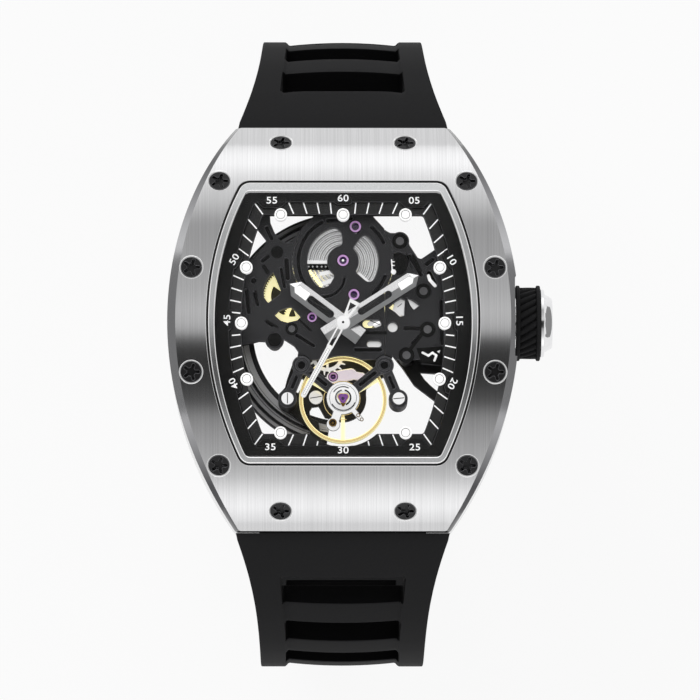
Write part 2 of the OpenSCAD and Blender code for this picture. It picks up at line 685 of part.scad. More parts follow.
module winding_bridge() color("#28282A") difference() {
    translate([0, 0, bridge_z0]) linear_extrude(bridge_t) difference() {
        upper_outline();
        barrel_region(seam);
        translate([split_x + seam - 1.5 * case_w, -case_w / 2]) square([1.5 * case_w, 1.5 * case_w]);
    }
    bridge_screw_bores();
    for (p = pillars) screw_sink(p, p[0] > 0 ? 0.95 : 0.1);
    screw_sink(right_screw, 0.8);
    for (p = [idler, crown_wheel_at]) at(p) rod(winding_arbor_r + fit, 0, bridge_z0 + bridge_hole);
    pocket([8.2, 8.2], [9.6, 5.9], 0.5);
    pocket([7.6, -0.75], [9.4, -0.75], 0.45);
    pocket([9.4, -1.7], [8.6, -2.6], 0.4);
    pocket([6.8, 7.55], [7, 7.45], 2.3);
    pocket([10.3, 7.2], [11.1, 7.8], 0.5);
    pocket([6.2, 4.4], [8.6, 5.8], 0.5);
    pocket([12.1, 2.6], [12.2, -2.6], 0.5);
}
left_screw = [-6.3, -0.4];
right_screw = [10.4, -0.45];
bridge_screw_spots = concat(pillars, [left_screw, right_screw]);
slot_w = 0.22;
slot_depth = 0.2;
module slotted_head(r, z0, h) difference() {
    rod(r, z0, z0 + h);
    translate([-r - 1, -slot_w / 2, z0 + h - slot_depth]) cube([2 * r + 2, slot_w, 1]);
}
bridge_head_r = 0.48;
bridge_head = 0.35;
module bridge_screws() color("#6E7073") for (p = bridge_screw_spots) at(p) {
    slotted_head(bridge_head_r, bridge_z1 - head_depth, bridge_head);
    rod(bridge_shaft_r, p[0] == left_screw[0] || p[0] == right_screw[0] ? bridge_z0 - air
        : bridge_z0 - bridge_screw_len, bridge_z1 - head_depth);
}

// Balance bridge on two elbows and two feet
balance_bridge_z0 = bridge_z0 + 0.35;
balance_bridge_t = 0.9;
balance_bridge_z1 = balance_bridge_z0 + balance_bridge_t;
arm_w = 1.25;
hub_r = 2.05;
arm_slot_w = 0.5;
leg_slot_w = 0.45;
elbow_hole_r = 0.5;
elbow_hole = 0.6;
elbow_ring = 0.15;
shock_r = 0.75;
module balance_bridge() color("#303032") difference() {
    translate([0, 0, balance_bridge_z0]) linear_extrude(balance_bridge_t) {
        for (i = [0, 1]) {
            bar2d(balance, elbows[i], arm_w);
            bar2d(elbows[i], feet[i], arm_w);
            translate(elbows[i]) circle(foot_r);
            translate(feet[i]) circle(foot_r);
        }
        translate(balance) circle(hub_r - 0.25);
    }
    for (i = [0, 1]) {
        slot_a = balance + 0.42 * (elbows[i] - balance);
        slot_b = balance + 0.76 * (elbows[i] - balance);
        leg_a = elbows[i] + 0.36 * (feet[i] - elbows[i]);
        leg_b = elbows[i] + 0.66 * (feet[i] - elbows[i]);
        translate([0, 0, balance_bridge_z1 - head_depth]) linear_extrude(1) {
            bar2d(slot_a, slot_b, arm_slot_w);
            bar2d(leg_a, leg_b, leg_slot_w);
        }
        at(elbows[i]) {
            rod(elbow_hole_r, balance_bridge_z1 - elbow_hole, case_t);
            tube(foot_r - 0.2, foot_r - 0.4, balance_bridge_z1 - elbow_ring, case_t);
        }
        at(feet[i]) rod(foot_shaft_r + touch, 0, case_t);
    }
    at(balance) rod(shock_r, 0, case_t);
}
side_screw = [-3.3, -balance_y + 0.05];
side_screw_r = 0.85;
side_screw_h = 0.45;
foot_head_r = 0.76;
module balance_screws() color("#DADBDC") {
    for (p = feet) at(p) {
        slotted_head(foot_head_r, balance_bridge_z1, bridge_head);
        rod(foot_shaft_r, balance_bridge_z0 - bridge_screw_len, balance_bridge_z1);
    }
    at(side_screw + [0, lean(plate_z1) - lean(bridge_z1)])
        slotted_head(side_screw_r, plate_z1, side_screw_h);
}
// Regulator over the hub: ring, index arm and stud carrier
regulator_t = 0.25;
stud = balance + [-1.2, -3.25];
stud_r = 0.85;
stud_hole_r = 0.32;
index_tip = balance + [2.1, -2.5];
module regulator() color("#D8D9DA") translate([0, 0, balance_bridge_z1]) difference() {
    linear_extrude(regulator_t) {
        translate(balance) circle(hub_r);
        bar2d(balance, stud, 1.1);
        bar2d(balance, index_tip, 0.62);
        translate(stud) circle(stud_r);
    }
    at(balance) {
        rod(shock_r, -1, 1);
        tube(hub_r - 0.4, hub_r - 0.7, regulator_t / 2, 1);
    }
    at(stud) rod(stud_hole_r, -1, 1);
}
// Shock setting: a ring, a cap jewel and the pivot jewel
setting_z1 = balance_bridge_z1 + 0.3;
cap_r = 0.5;
cap_t = 0.4;
hole_jewel_t = 0.3;
module shock_setting() color("#B03A78") at(balance) {
    tube(shock_r, cap_r, balance_bridge_z0, setting_z1);
    rod(cap_r, setting_z1 - cap_t - air, setting_z1 - air);
    tube(cap_r, train_pivot_r + fit, balance_bridge_z0, balance_bridge_z0 + hole_jewel_t);
}
module pallet_bridge() color("#D2D3D5") difference() {
    union() {
        translate([0, 0, pallet_bridge_z0]) linear_extrude(pallet_bridge_t) {
            bar2d(pallet + [-0.1, 0], [1, -5.7], 1.45);
            bar2d([0.9, -5.75], pallet_foot, 1);
        }
        at(pallet_foot) rod(pallet_foot_r, plate_z1, pallet_bridge_z0 + 0.1);
    }
    at(pallet) rod(pallet_jewel_r, 0, case_t);
}
pallet_bridge_t = 0.4;
pallet_foot_r = 0.55;
pallet_jewel_r = 0.4;
pallet_bridge_z0 = escape_z + 0.55;
pallet_foot = [2.3, -6];

// Ruby bearings in the bridges
jewel_ring_r = 4.35;
jewel_bore_r = 0.16;
jewel_high = barrel + polar(jewel_ring_r, 68);
jewel_low = barrel + polar(jewel_ring_r, -71.5);
module jewel(p, r, z0, z1, bore) at(p) tube(r, bore, z0, z1);
module jewels() color("#B03A78") {
    for (p = [jewel_high, jewel_low]) jewel(p, jewel_hole_r, bridge_z0, bridge_z1 - air, jewel_bore_r);
    jewel(barrel, centre_jewel_r, bridge_z0, bridge_z1 - air, winding_arbor_r + fit);
    jewel(third, third_jewel_r, bridge_z0, bridge_z1 - 0.15, train_pivot_r + fit);
    jewel(pallet, pallet_jewel_r, pallet_bridge_z0, pallet_bridge_z0 + pallet_bridge_t,
        pallet_pivot_r + fit);
}

// Rotor: a half ring on a web that turns on a ball bearing
weight_r0 = 12.4;
web_r0 = 11.1;
rotor_a0 = 85;
rotor_a1 = 262;
web_arms = [125, 239];
web_arm_w = 1.6;
web_hub_r = 2.8;
web_hole_r = 0.4;
web_hole_rs = [4.4, 6.6, 8.8];
weight_grooves = [0.55, 1.35];
weight_groove_w = 0.3;
rotor_am = (rotor_a0 + rotor_a1) / 2;
hub_bore = 1.54;
race_r = 1;
ball_r = 0.23;
ball_n = 8;
module half_ring(r0, r1) {
    sector2d(r0, r1, rotor_a0, rotor_am);
    sector2d(r0, r1, rotor_am, rotor_a1);
}
module rotor_plate() color("#5E6063") translate([0, 0, web_z0]) linear_extrude(web_t) difference() {
    union() {
        half_ring(web_r0, weight_r0);
        circle(web_hub_r);
        for (a = web_arms) rotate(a) translate([0, -web_arm_w / 2]) square([web_r0 + 0.4, web_arm_w]);
    }
    circle(hub_bore);
    for (a = web_arms, r = web_hole_rs) rotate(a) translate([r, 0]) circle(web_hole_r);
}
module rotor_weight() color("#3A3A3D") difference() {
    translate([0, 0, rotor_z0]) linear_extrude(rotor_t) half_ring(weight_r0, rotor_r);
    for (r = weight_grooves) tube(weight_r0 + r + weight_groove_w, weight_r0 + r,
        rotor_z0 + rotor_t - weight_groove_w, plate_z0 + 1);
}
module rotor_bearing() color("#CDCED0") {
    rod(race_r, rotor_z0, plate_z0);
    for (i = [0:ball_n - 1]) rotate(360 * i / ball_n)
        translate([(race_r + hub_bore) / 2, 0, web_z0 + web_t / 2]) sphere(ball_r, $fn = 24);
}
rotor_screw_r = 1.3;
rotor_screw_h = 0.27;
module rotor_screw() color("#9A9C9F") translate([0, 0, 2 * rotor_z0 - 0.3]) rotate([180, 0, 0])
    slotted_head(rotor_screw_r, rotor_z0 - 0.3, rotor_screw_h);

// Barrel: toothed drum, cover, mainspring and ratchet wheel
drum_r = 5.85;
drum_wall = 0.3;
arbor_r = 1.1;
drum_teeth_t = 0.35;
cover_t = 0.15;
spring_floor = 0.28;
spring_room = 0.5;
barrel_m = mesh_m(barrel, hands, barrel_n, centre_pinion_n);
module barrel_drum() color("#B9A05A") at(barrel) difference() {
    union() {
        translate([0, 0, barrel_z + 0.05]) spur(barrel_n, barrel_m, 0, drum_teeth_t);
        rod(drum_r, barrel_z, barrel_z + barrel_h - cover_t);
    }
    rod(drum_r - drum_wall, barrel_z + 0.2, case_t);
    rod(ratchet_arbor_r + fit, 0, case_t);
}
cover_hub = 0.5;
cover_rim = 0.7;
cover_left = [65, 250];
cover_right = [-65, 55];
module barrel_cover() color("#55575A") at(barrel)
    translate([0, 0, barrel_z + barrel_h - cover_t + touch]) linear_extrude(cover_t) difference() {
        circle(drum_r);
        for (a = [cover_left, cover_right])
            kidney2d(arbor_r + cover_hub, drum_r - cover_rim, a[0], a[1], cover_hub, cover_hub);
        circle(ratchet_arbor_r + fit);
    }
main_w = 0.17;
main_r0 = arbor_r + main_w / 2 + fit;
main_r1 = drum_r - drum_wall - main_w / 2 - 0.12;
module mainspring() color("#D7D8DA") at(barrel) translate([0, 0, barrel_z + spring_floor])
    spiral_strip(main_r0, main_r1, mainspring_turns, main_w, 20, barrel_h - spring_room);
module ratchet_wheel() color("#C7B377") at(barrel) {
    translate([0, 0, ratchet_z])
        wheel(ratchet_n, winding_m, 0, winding_t, 4, 1.3, ratchet_arbor_r - 0.05, 0.7, 0.8);
    rod(ratchet_arbor_r, plate_z1 - arbor_end, barrel_z + 0.24);
    rod(arbor_r, barrel_z + 0.24, barrel_z + barrel_h - 0.2);
    rod(ratchet_arbor_r, barrel_z + barrel_h - 0.2, bridge_z0 - 0.05);
    rod(winding_arbor_r, bridge_z0 - 0.05, bridge_z1 - 0.3);
}

// Winding wheels at the level of the ratchet wheel
function mesh_at(p, na, nb, a) = p + polar((na + nb) / 2 * winding_m, a);
rotor_gear_at = mesh_at(barrel, ratchet_n, rotor_gear_n, 211.8);
idler = mesh_at(barrel, ratchet_n, idler_n, -27.7);
crown_reach = (idler_n + crown_wheel_n) / 2 * winding_m;
crown_wheel_at = [idler[0] + sqrt(pow(crown_reach, 2) - pow(idler[1] - crown_y, 2)), crown_y];
idler_phase = mesh_phase(barrel, idler, ratchet_n, idler_n, 0);
module rotor_gear() color("#E3CF8B") at(rotor_gear_at) {
    translate([0, 0, ratchet_z]) wheel(rotor_gear_n, winding_m,
        mesh_phase(barrel, rotor_gear_at, ratchet_n, rotor_gear_n, 0), winding_t, 5, 0.9, 0.2, 0.7, 0.6);
    rod(gear_arbor_r, plate_z1 - arbor_end, bridge_z0 + bridge_end);
}
module winding_idler() color("#C7B377") at(idler) {
    translate([0, 0, ratchet_z]) wheel(idler_n, winding_m, idler_phase, winding_t, 4, 0.9, 0.2, 0.6, 0.6);
    rod(winding_arbor_r, plate_z1 - arbor_end, bridge_z0 + bridge_end);
}
module crown_wheel() color("#CFD0D2") at(crown_wheel_at) {
    translate([0, 0, ratchet_z]) spur(crown_wheel_n, winding_m,
        mesh_phase(idler, crown_wheel_at, idler_n, crown_wheel_n, idler_phase), winding_t);
    rod(winding_arbor_r, plate_z1 - arbor_end, bridge_z0 + bridge_end);
}
click_at = barrel + polar(5.7, 20);
click_w = 0.4;
click_hub_r = 0.45;
click_pin_r = 0.2;
module click() color("#CFD0D2") difference() {
    union() {
        translate([0, 0, ratchet_z]) linear_extrude(winding_t)
            bar2d(click_at, barrel + polar((ratchet_n / 2 + tip_h) * winding_m + 0.35, 38), click_w);
        at(click_at) rod(click_hub_r, plate_z1 + 0.05, barrel_z - 0.1);
    }
    at(click_at) rod(click_pin_r + fit, 0, barrel_z);
}

// Going train
centre_m = mesh_m(hands, third, centre_n, third_pinion_n);
third_m = mesh_m(third, hands, third_n, fourth_pinion_n);
fourth_m = mesh_m(hands, escape, fourth_n, escape_pinion_n);
fourth_arbor_r = 0.17;
centre_bore = fourth_arbor_r + fit;
centre_arbor_r = 0.3;
cannon_bore = centre_arbor_r + fit;
cannon_r = 0.48;
hour_bore = cannon_r + fit;
pipe_r = pipe_hole_r - 0.08;
module centre_wheel() color("#D9C47E") difference() {
    union() {
        translate([0, 0, centre_z]) wheel(centre_n, centre_m, 0, 0.24, 4, 0.9, 0.1);
        translate([0, 0, barrel_z + 0.02]) spur(centre_pinion_n, barrel_m,
            mesh_phase(barrel, hands, barrel_n, centre_pinion_n, 0), 0.45);
        rod(centre_arbor_r, fourth_z + 0.3, minute_z - 0.9);
        rod(0.5, centre_z, barrel_z + 0.4);
    }
    rod(centre_bore, 0, case_t);
}
module third_wheel() color("#D9C47E") at(third) {
    translate([0, 0, third_z]) wheel(third_n, third_m, 0, 0.2, 4, 0.7, 0.1);
    translate([0, 0, centre_z - 0.05]) spur(third_pinion_n, centre_m,
        mesh_phase(hands, third, centre_n, third_pinion_n, 0), 0.36);
    rod(0.24, third_z, bridge_z0 - 0.05);
    rod(train_pivot_r, plate_z1 - train_pivot, bridge_z1 - 0.25);
}
module fourth_wheel() color("#D9C47E") {
    translate([0, 0, fourth_z]) wheel(fourth_n, fourth_m, 0, 0.15, 4, 0.7, 0.1, 0.3, 0.25);
    translate([0, 0, third_z - 0.03]) spur(fourth_pinion_n, third_m,
        mesh_phase(third, hands, third_n, fourth_pinion_n, 0), 0.26);
    rod(fourth_arbor_r, plate_z1 - 0.3, second_z);
}
escape_r = 2.45;
escape_phase = 6;
module escape_wheel() color("#C9CACC") at(escape) {
    translate([0, 0, escape_z]) linear_extrude(0.2) {
        difference() {
            union() {
                circle(0.8 * escape_r);
                for (i = [0:escape_n - 1]) rotate(escape_phase + 360 * i / escape_n)
                    polygon([polar(0.75 * escape_r, -5), polar(escape_r, 2), polar(escape_r, 4.5),
                        polar(0.75 * escape_r, 5)]);
            }
            circle(0.62 * escape_r);
        }
        for (a = [0, 90]) rotate(a) translate([-0.7 * escape_r, -0.15]) square([1.4 * escape_r, 0.3]);
        circle(0.5);
    }
    translate([0, 0, fourth_z - 0.05]) spur(escape_pinion_n, fourth_m,
        mesh_phase(hands, escape, fourth_n, escape_pinion_n, 0), 0.35);
    rod(train_pivot_r, plate_z1 - train_pivot, bridge_z0 + bridge_end);
}
fork_reach = norm(balance - pallet) - 1.05;
fork_w = 0.36;
module pallet_fork() color("#CFD0D2") at(pallet) {
    translate([0, 0, escape_z]) linear_extrude(0.2) {
        lever = bearing(pallet, balance);
        bar2d([0, 0], polar(fork_reach, lever), fork_w);
        for (s = [-1, 1]) bar2d([0, 0], polar(1.28, lever + 180 + s * 72), fork_w);
    }
    rod(pallet_pivot_r, plate_z1 - train_pivot, pallet_bridge_z0 + 0.3);
    rod(0.2, escape_z - 0.2, escape_z + 0.4);
}

// Balance with three spokes, staff, roller and hairspring
balance_z = centre_z + 1;
rim_w = 0.5;
rim_t = 0.7;
spoke_t = 0.25;
spoke_w = 0.34;
roller_r = 0.9;
module balance_wheel() color("#E0C374") at(balance) {
    tube(balance_r, balance_r - rim_w, balance_z, balance_z + rim_t);
    translate([0, 0, balance_z + 0.2]) linear_extrude(spoke_t) {
        difference() {
            circle(0.7);
            circle(train_pivot_r);
        }
        for (a = [30, 150, 270]) rotate(a) translate([0.3, -spoke_w / 2])
            square([balance_r - rim_w, spoke_w]);
    }
    rod(0.25, escape_z - 0.2, balance_bridge_z0 - 0.05);
    rod(train_pivot_r, plate_z1 - train_pivot, setting_z1 - cap_t - 0.15);
    difference() {
        rod(roller_r, escape_z + 0.45, escape_z + 0.65);
        rod(train_pivot_r, 0, case_t);
    }
}
hair_w = 0.07;
hair_t = 0.18;
hair_r0 = 0.55;
hair_r1 = 2.55;
module hairspring() color("#8FA3C4") at(balance) translate([0, 0, balance_bridge_z0 - 0.3])
    spiral_strip(hair_r0, hair_r1, hairspring_turns, hair_w, 100, hair_t);

// Motion work under the bridge, and the hands
cannon_m = mesh_m(hands, minute_arbor, cannon_n, minute_n);
hour_m = mesh_m(minute_arbor, hands, minute_pinion_n, hour_n);
module minute_wheel() color("#E3CF8B") at(minute_arbor) difference() {
    union() {
        translate([0, 0, motion_z]) spur(minute_n, cannon_m,
            mesh_phase(hands, minute_arbor, cannon_n, minute_n, 0), 0.2);
        translate([0, 0, motion_z]) spur(minute_pinion_n, hour_m, 0, 0.56);
    }
    rod(0.15 + fit, 0, case_t);
}
module cannon_pinion() color("#C9CACC") difference() {
    union() {
        translate([0, 0, motion_z - 0.05]) spur(cannon_n, cannon_m, 0, 0.3);
        rod(cannon_r, motion_z, minute_z);
    }
    rod(cannon_bore, 0, case_t);
}
module hour_wheel() color("#C9CACC") difference() {
    union() {
        translate([0, 0, motion_z + 0.32]) spur(hour_n, hour_m,
            mesh_phase(minute_arbor, hands, minute_pinion_n, hour_n, 0), 0.22);
        rod(pipe_r, motion_z + 0.32, hour_z);
    }
    rod(hour_bore, 0, case_t);
}
// Faceted baton with an arrow tip, a square tail and a long slot
tail_len = 2.7;
tip_len = 1;
module baton(len, hw, slot0, slot1, bore) difference() {
    polygon([[-tail_len, -hw], [len - tip_len, -hw], [len, 0], [len - tip_len, hw], [-tail_len, hw]]);
    bar2d([slot0, 0], [slot1, 0], 0.9 * hw);
    circle(bore);
}
hour_angle = 143;
minute_angle = 32.6;
second_angle = -118.4;
module hour_hand() color("#D4D5D7") translate([0, 0, hour_z]) rotate(hour_angle)
    linear_extrude(hour_t) baton(hour_len, hour_hw, 0.24 * hour_len, 0.6 * hour_len, cannon_r + 0.1);
module minute_hand() color("#D4D5D7") translate([0, 0, minute_z]) rotate(minute_angle)
    linear_extrude(minute_t) baton(minute_len, minute_hw, 0.22 * minute_len, 0.6 * minute_len,
        fourth_arbor_r + 0.05);
second_hub_r = 0.85;
frame_end = 3.4;
frame_hw = 0.42;
bar_hw = 0.36;
poise_len = 3.05;
poise_hw = 0.68;
module second_hand() color("#D4D5D7") {
    translate([0, 0, second_z]) rotate(second_angle) linear_extrude(second_t) difference() {
        union() {
            circle(second_hub_r);
            translate([0, -frame_hw]) square([frame_end, 2 * frame_hw]);
            bar2d([frame_end, 0], [second_len - bar_hw, 0], 2 * bar_hw);
            polygon([[0, -0.35], [-poise_len, -poise_hw], [-poise_len, poise_hw], [0, 0.35]]);
        }
        polygon([[-1.3, 0], [0.3 - poise_len, 0.3 - poise_hw], [0.3 - poise_len, poise_hw - 0.3]]);
        translate([second_hub_r + air, -frame_hw / 2])
            square([frame_end - second_hub_r - 3 * air, frame_hw]);
    }
    rod(second_hub_r, second_z + second_t, hub_z);
}

// Keyless works: lever under the bridge, pinion on the stem
lever_at = pillars[2];
lever_z = bridge_z0 - 0.4;
lever_t = 0.3;
lever_hub_r = pillar_r + 0.5;
module setting_lever() color("#D8D9DA") difference() {
    translate([0, 0, lever_z]) linear_extrude(lever_t) {
        translate(lever_at) circle(lever_hub_r);
        bar2d(lever_at, [7, 2.9], 1.3);
        bar2d([7, 2.9], [6.7, 1.9], 1.3);
        bar2d(lever_at + [-0.4, -0.4], [9, 2.9], 1.6);
    }
    at(lever_at) rod(pillar_r + 0.05, 0, case_t);
}
module winding_pinion() color("#C9CACC") crown_axis(crown_wheel_at[0] + 0.9) difference() {
    spur(pinion_n, pinion_m, 0, 1);
    cylinder(r = square_r + fit, h = square_l);
}

// Crown: tube in the case, steel core with its stem, and a rubber grip
collar_r = 2.9;
collar_l = 0.15;
grip_x0 = collar_x + collar_l + air;
grip_x1 = grip_x0 + grip_l;
tube_x1 = grip_x0 + grip_l - crown_pull - 0.6;
module crown_tube() color("#C4C6C8") difference() {
    union() {
        crown_axis(tube_x0) cylinder(r = tube_r, h = tube_x1 - tube_x0);
        crown_axis(collar_x) cylinder(r = collar_r, h = collar_l);
    }
    crown_axis(0) cylinder(r = stem_r + 0.04, h = case_w);
}
grip_wall = 1.1;
core_r = grip_d / 2 - grip_wall;
disc_r = 4.2;
disc_l = 0.5;
cap_l = 1;
cap_r0 = 3.65;
cap_r1 = 3.05;
square_r = stem_r - 0.2;
square_l = 3;
stem_x0 = crown_wheel_at[0] + 0.5;
module crown_stem() color("#CFD0D2") difference() {
    union() {
        crown_axis(stem_x0) cylinder(r = square_r, h = square_l);
        crown_axis(stem_x0 + square_l) cylinder(r = stem_r, h = grip_x1 - stem_x0 - square_l);
        crown_axis(grip_x0) cylinder(r = core_r, h = grip_l);
        crown_axis(grip_x1) cylinder(r = disc_r, h = disc_l);
        crown_axis(grip_x1 + disc_l) cylinder(r1 = cap_r0, r2 = cap_r1, h = cap_l);
    }
    crown_axis(grip_x0 - 1) difference() {
        cylinder(r = tube_r + 0.08, h = tube_x1 - grip_x0 + 1 + air);
        translate([0, 0, -1]) cylinder(r = stem_r, h = case_w);
    }
}
ridge_l = 0.5;
groove_n = 40;
grip_groove_r = 0.13;
module crown_grip() color("#1C1C1D") difference() {
    union() {
        crown_axis(grip_x0) linear_extrude(grip_l) difference() {
            circle(grip_d / 2);
            for (i = [0:groove_n - 1]) rotate(360 * i / groove_n)
                translate([grip_d / 2, 0]) circle(grip_groove_r, $fn = 8);
        }
        for (x = [grip_x0, grip_x1 - ridge_l]) crown_axis(x) cylinder(r = ridge_d / 2, h = ridge_l);
    }
    crown_axis(grip_x0 - 1) cylinder(r = core_r, h = grip_l + 2);
}

// Strap: two arcs seen from the side. s is the length along the outer face.
// The halves stand in an open arch, free of the view through the movement.
flare_r = 27.5;
strap_reach = 14.45;
strap_y0 = case_hl + 0.08;
strap_z0 = 4.57;
flare_y = case_hl + strap_reach - flare_r;
flare_a0 = acos((strap_y0 - flare_y) / flare_r);
flare_z = strap_z0 - flare_r * sin(flare_a0);
flare_s = flare_r * flare_a0 * PI / 180;
upper_r = 50;
lower_r = 37;
function arch_a(s, r) = (s < flare_s ? flare_a0 * PI / 180 - s / flare_r : (flare_s - s) / r) * 180 / PI;
function arch(s, r, d) = let (a = arch_a(s, r)) s < flare_s
    ? [flare_y, flare_z] + polar(flare_r - d, a)
    : [flare_y + flare_r - r, flare_z] + polar(r - d, a);
arch_step = 2.5;
function arch_ss(len) = [for (i = [-1:ceil(len / arch_step)]) min(len, i * arch_step)];
flare_fade = 4.5;
function strap_w(z) = tail_hw + (strap_hw - tail_hw) * exp(min(0, z - strap_z0) / flare_fade);
// Side view of a strap half, between two lengths and two depths
module arch_band(s0, s1, r, d0, d1) {
    n = max(1, ceil((s1 - s0) / arch_step));
    ss = [for (i = [0:n]) s0 + (s1 - s0) * i / n];
    polygon(concat([for (s = ss) arch(s, r, d0)], [for (i = [n:-1:0]) arch(ss[i], r, d1)]));
}
width_steps = 16;
strap_low = -70;
strap_high = 6;
module strap_front() {
    zs = [for (i = [0:width_steps]) strap_high - (strap_high + 24) * i / width_steps];
    right = concat([for (z = zs) [strap_w(z), z]], [[tail_hw, strap_low]]);
    polygon(concat(right, [for (i = [len(right) - 1:-1:0]) [-right[i][0], right[i][1]]]));
}
first_gap = 6.5;
rib_recess = 0.2;
end_solid = 6;
hinge_web = 2.2;
module strap_half(len, r, gaps, s) mirror([0, s < 0 ? 1 : 0, 0]) difference() {
    union() {
        intersection() {
            along_x(-case_w / 2, case_w / 2) difference() {
                arch_band(0, len, r, 0, strap_t);
                translate([pivot_y, pivot_z]) circle(strap_seat_r, $fn = 72);
            }
            translate([0, 60, 0]) rotate([90, 0, 0]) linear_extrude(100) strap_front();
        }
        along_x(-knuckle_hw, knuckle_hw) {
            translate([pivot_y, pivot_z]) circle(knuckle_r);
            translate([pivot_y, pivot_z - hinge_web / 2]) square([strap_seat_r + 0.6, hinge_web]);
        }
    }
    translate([0, pivot_y, pivot_z]) rotate([0, 90, 0]) translate([0, 0, -case_w])
        cylinder(r = pivot_r + fit, h = 2 * case_w);
    along_x(-window_hw, window_hw) {
        arch_band(first_gap, first_gap + gaps * rib_pitch, r, -2, rib_recess);
        for (i = [0:gaps - 1])
            arch_band(first_gap + i * rib_pitch, first_gap + i * rib_pitch + rib_gap, r, -2, strap_t + 2);
    }
    children();
}
upper_gaps = floor((upper_len - first_gap - end_solid) / rib_pitch);
lower_gaps = floor((lower_len - first_gap - end_solid) / rib_pitch);
end_notch = 3.6;
notch_air = 0.4;
module strap_upper() color("#232324") strap_half(upper_len, upper_r, upper_gaps, 1) {
    along_x(-tongue_hw - notch_air, tongue_hw + notch_air)
        arch_band(upper_len - end_notch, upper_len + 5, upper_r, -2, strap_t + 2);
    buckle_pin_at() cylinder(r = buckle_pin_r + fit, h = 60, center = true);
}
module strap_lower() color("#232324") strap_half(lower_len, lower_r, lower_gaps, -1);
module strap_pins() color("#9A9C9F") for (s = [-1, 1]) translate([0, s * pivot_y, pivot_z])
    rotate([0, 90, 0]) cylinder(r = pivot_r, h = 2 * pin_hw, center = true);

// Keeper loop round the upper half, and a pin buckle at its end
keeper_from_end = 12;
keeper_s = upper_len - keeper_from_end;
keeper_gap = 0.02;
keeper_t = 1.3;
keeper_l = 5;
module strap_keeper() color("#1F1F20") difference() {
    along_x(-tail_hw - keeper_gap - keeper_t, tail_hw + keeper_gap + keeper_t)
        arch_band(keeper_s, keeper_s + keeper_l, upper_r, -keeper_gap - keeper_t,
            strap_t * 2 + keeper_gap + keeper_t);
    along_x(-tail_hw - keeper_gap, tail_hw + keeper_gap)
        arch_band(keeper_s - 1, keeper_s + keeper_l + 1, upper_r, -keeper_gap, strap_t * 2 + keeper_gap);
}
buckle_pin_r = 0.7;
buckle_pin_hw = tail_hw + 1.6;
pin_s = upper_len - 1.7;
pin_d = strap_t / 2;
module buckle_pin_at() translate(concat([0], arch(pin_s, upper_r, pin_d))) rotate([0, 90, 0]) children();
module buckle_pin() color("#9A9C9F") buckle_pin_at()
    cylinder(r = buckle_pin_r, h = 2 * buckle_pin_hw, center = true);
// Frame in the local plane of the strap end: x across, y along the strap, z outward
function pin_point() = arch(pin_s, upper_r, pin_d);
module strap_end_plane() translate(concat([0], pin_point()))
    rotate([arch_a(pin_s, upper_r) - 90, 0, 0]) children();
buckle_l = 10.5;
buckle_bar = 2.3;
buckle_t = 2;
buckle_back = 1.6;
module buckle_frame() color("#C9CACB") strap_end_plane() difference() {
    translate([0, 0, -buckle_t / 2]) linear_extrude(buckle_t) difference() {
        translate([-buckle_w / 2, -buckle_back]) square([buckle_w, buckle_l + buckle_back]);
        translate([-tail_hw - 0.3, -2]) square([2 * tail_hw + 0.6, buckle_l + 2 - buckle_bar]);
    }
    rotate([0, 90, 0]) cylinder(r = buckle_pin_r + fit, h = 2 * buckle_pin_hw + 0.02, center = true);
}
tongue_hw = 1.3;
tongue_t = 1.2;
tongue_hub_r = 1.35;
tongue_tip = 4.2;
module buckle_tongue() color("#D2D3D5") strap_end_plane() difference() {
    union() {
        translate([-tongue_hw, 0, -tongue_t / 2]) cube([2 * tongue_hw, buckle_l - tongue_t / 2, tongue_t]);
        translate([-tongue_hw, buckle_l - tongue_tip, 0])
            cube([2 * tongue_hw, tongue_tip, buckle_t / 2 + 0.95]);
        rotate([0, 90, 0]) cylinder(r = tongue_hub_r, h = 2 * tongue_hw, center = true);
    }
    rotate([0, 90, 0]) cylinder(r = buckle_pin_r + fit, h = 20, center = true);
    translate([-5, buckle_l - buckle_bar - 0.15, -3]) cube([10, 5, 3 + buckle_t / 2 + 0.08]);
}

// Least gap of each spiral to itself
echo(mainspring_gap = (main_r1 - main_r0) / mainspring_turns - main_w);
echo(hairspring_gap = (hair_r1 - hair_r0) / hairspring_turns - hair_w);

bezel();
mid_case();
case_back();
bezel_screws();
back_screws();
crystal_gasket();
crystal_frame();
front_crystal();
back_crystal();
dial_flange();
hour_markers();
movement_ring();
main_plate();
barrel_bridge();
train_bridge();
winding_bridge();
bridge_screws();
balance_bridge();
balance_screws();
pallet_bridge();
regulator();
shock_setting();
jewels();
rotor_bearing();
rotor_screw();
rotor_plate();
rotor_weight();
barrel_drum();
barrel_cover();
mainspring();
ratchet_wheel();
winding_idler();
crown_wheel();
rotor_gear();
click();
centre_wheel();
third_wheel();
fourth_wheel();
escape_wheel();
pallet_fork();
balance_wheel();
hairspring();
minute_wheel();
hour_wheel();
cannon_pinion();
hour_hand();
minute_hand();
second_hand();
setting_lever();
winding_pinion();
crown_tube();
crown_stem();
crown_grip();
strap_upper();
strap_lower();
strap_pins();
strap_keeper();
buckle_frame();
buckle_pin();
buckle_tongue();
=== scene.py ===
# %% [markdown]
# # An automatic watch with a skeleton movement
# The CAD model gives every piece its place. This lesson dresses it: a brushed tonneau case, a black
# stepped dial flange, faceted hands, an open movement and a ribbed rubber strap.
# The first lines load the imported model, which stays where it is as a frame.

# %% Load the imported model
import math
import bpy
import bmesh
from mathutils import Matrix, Vector


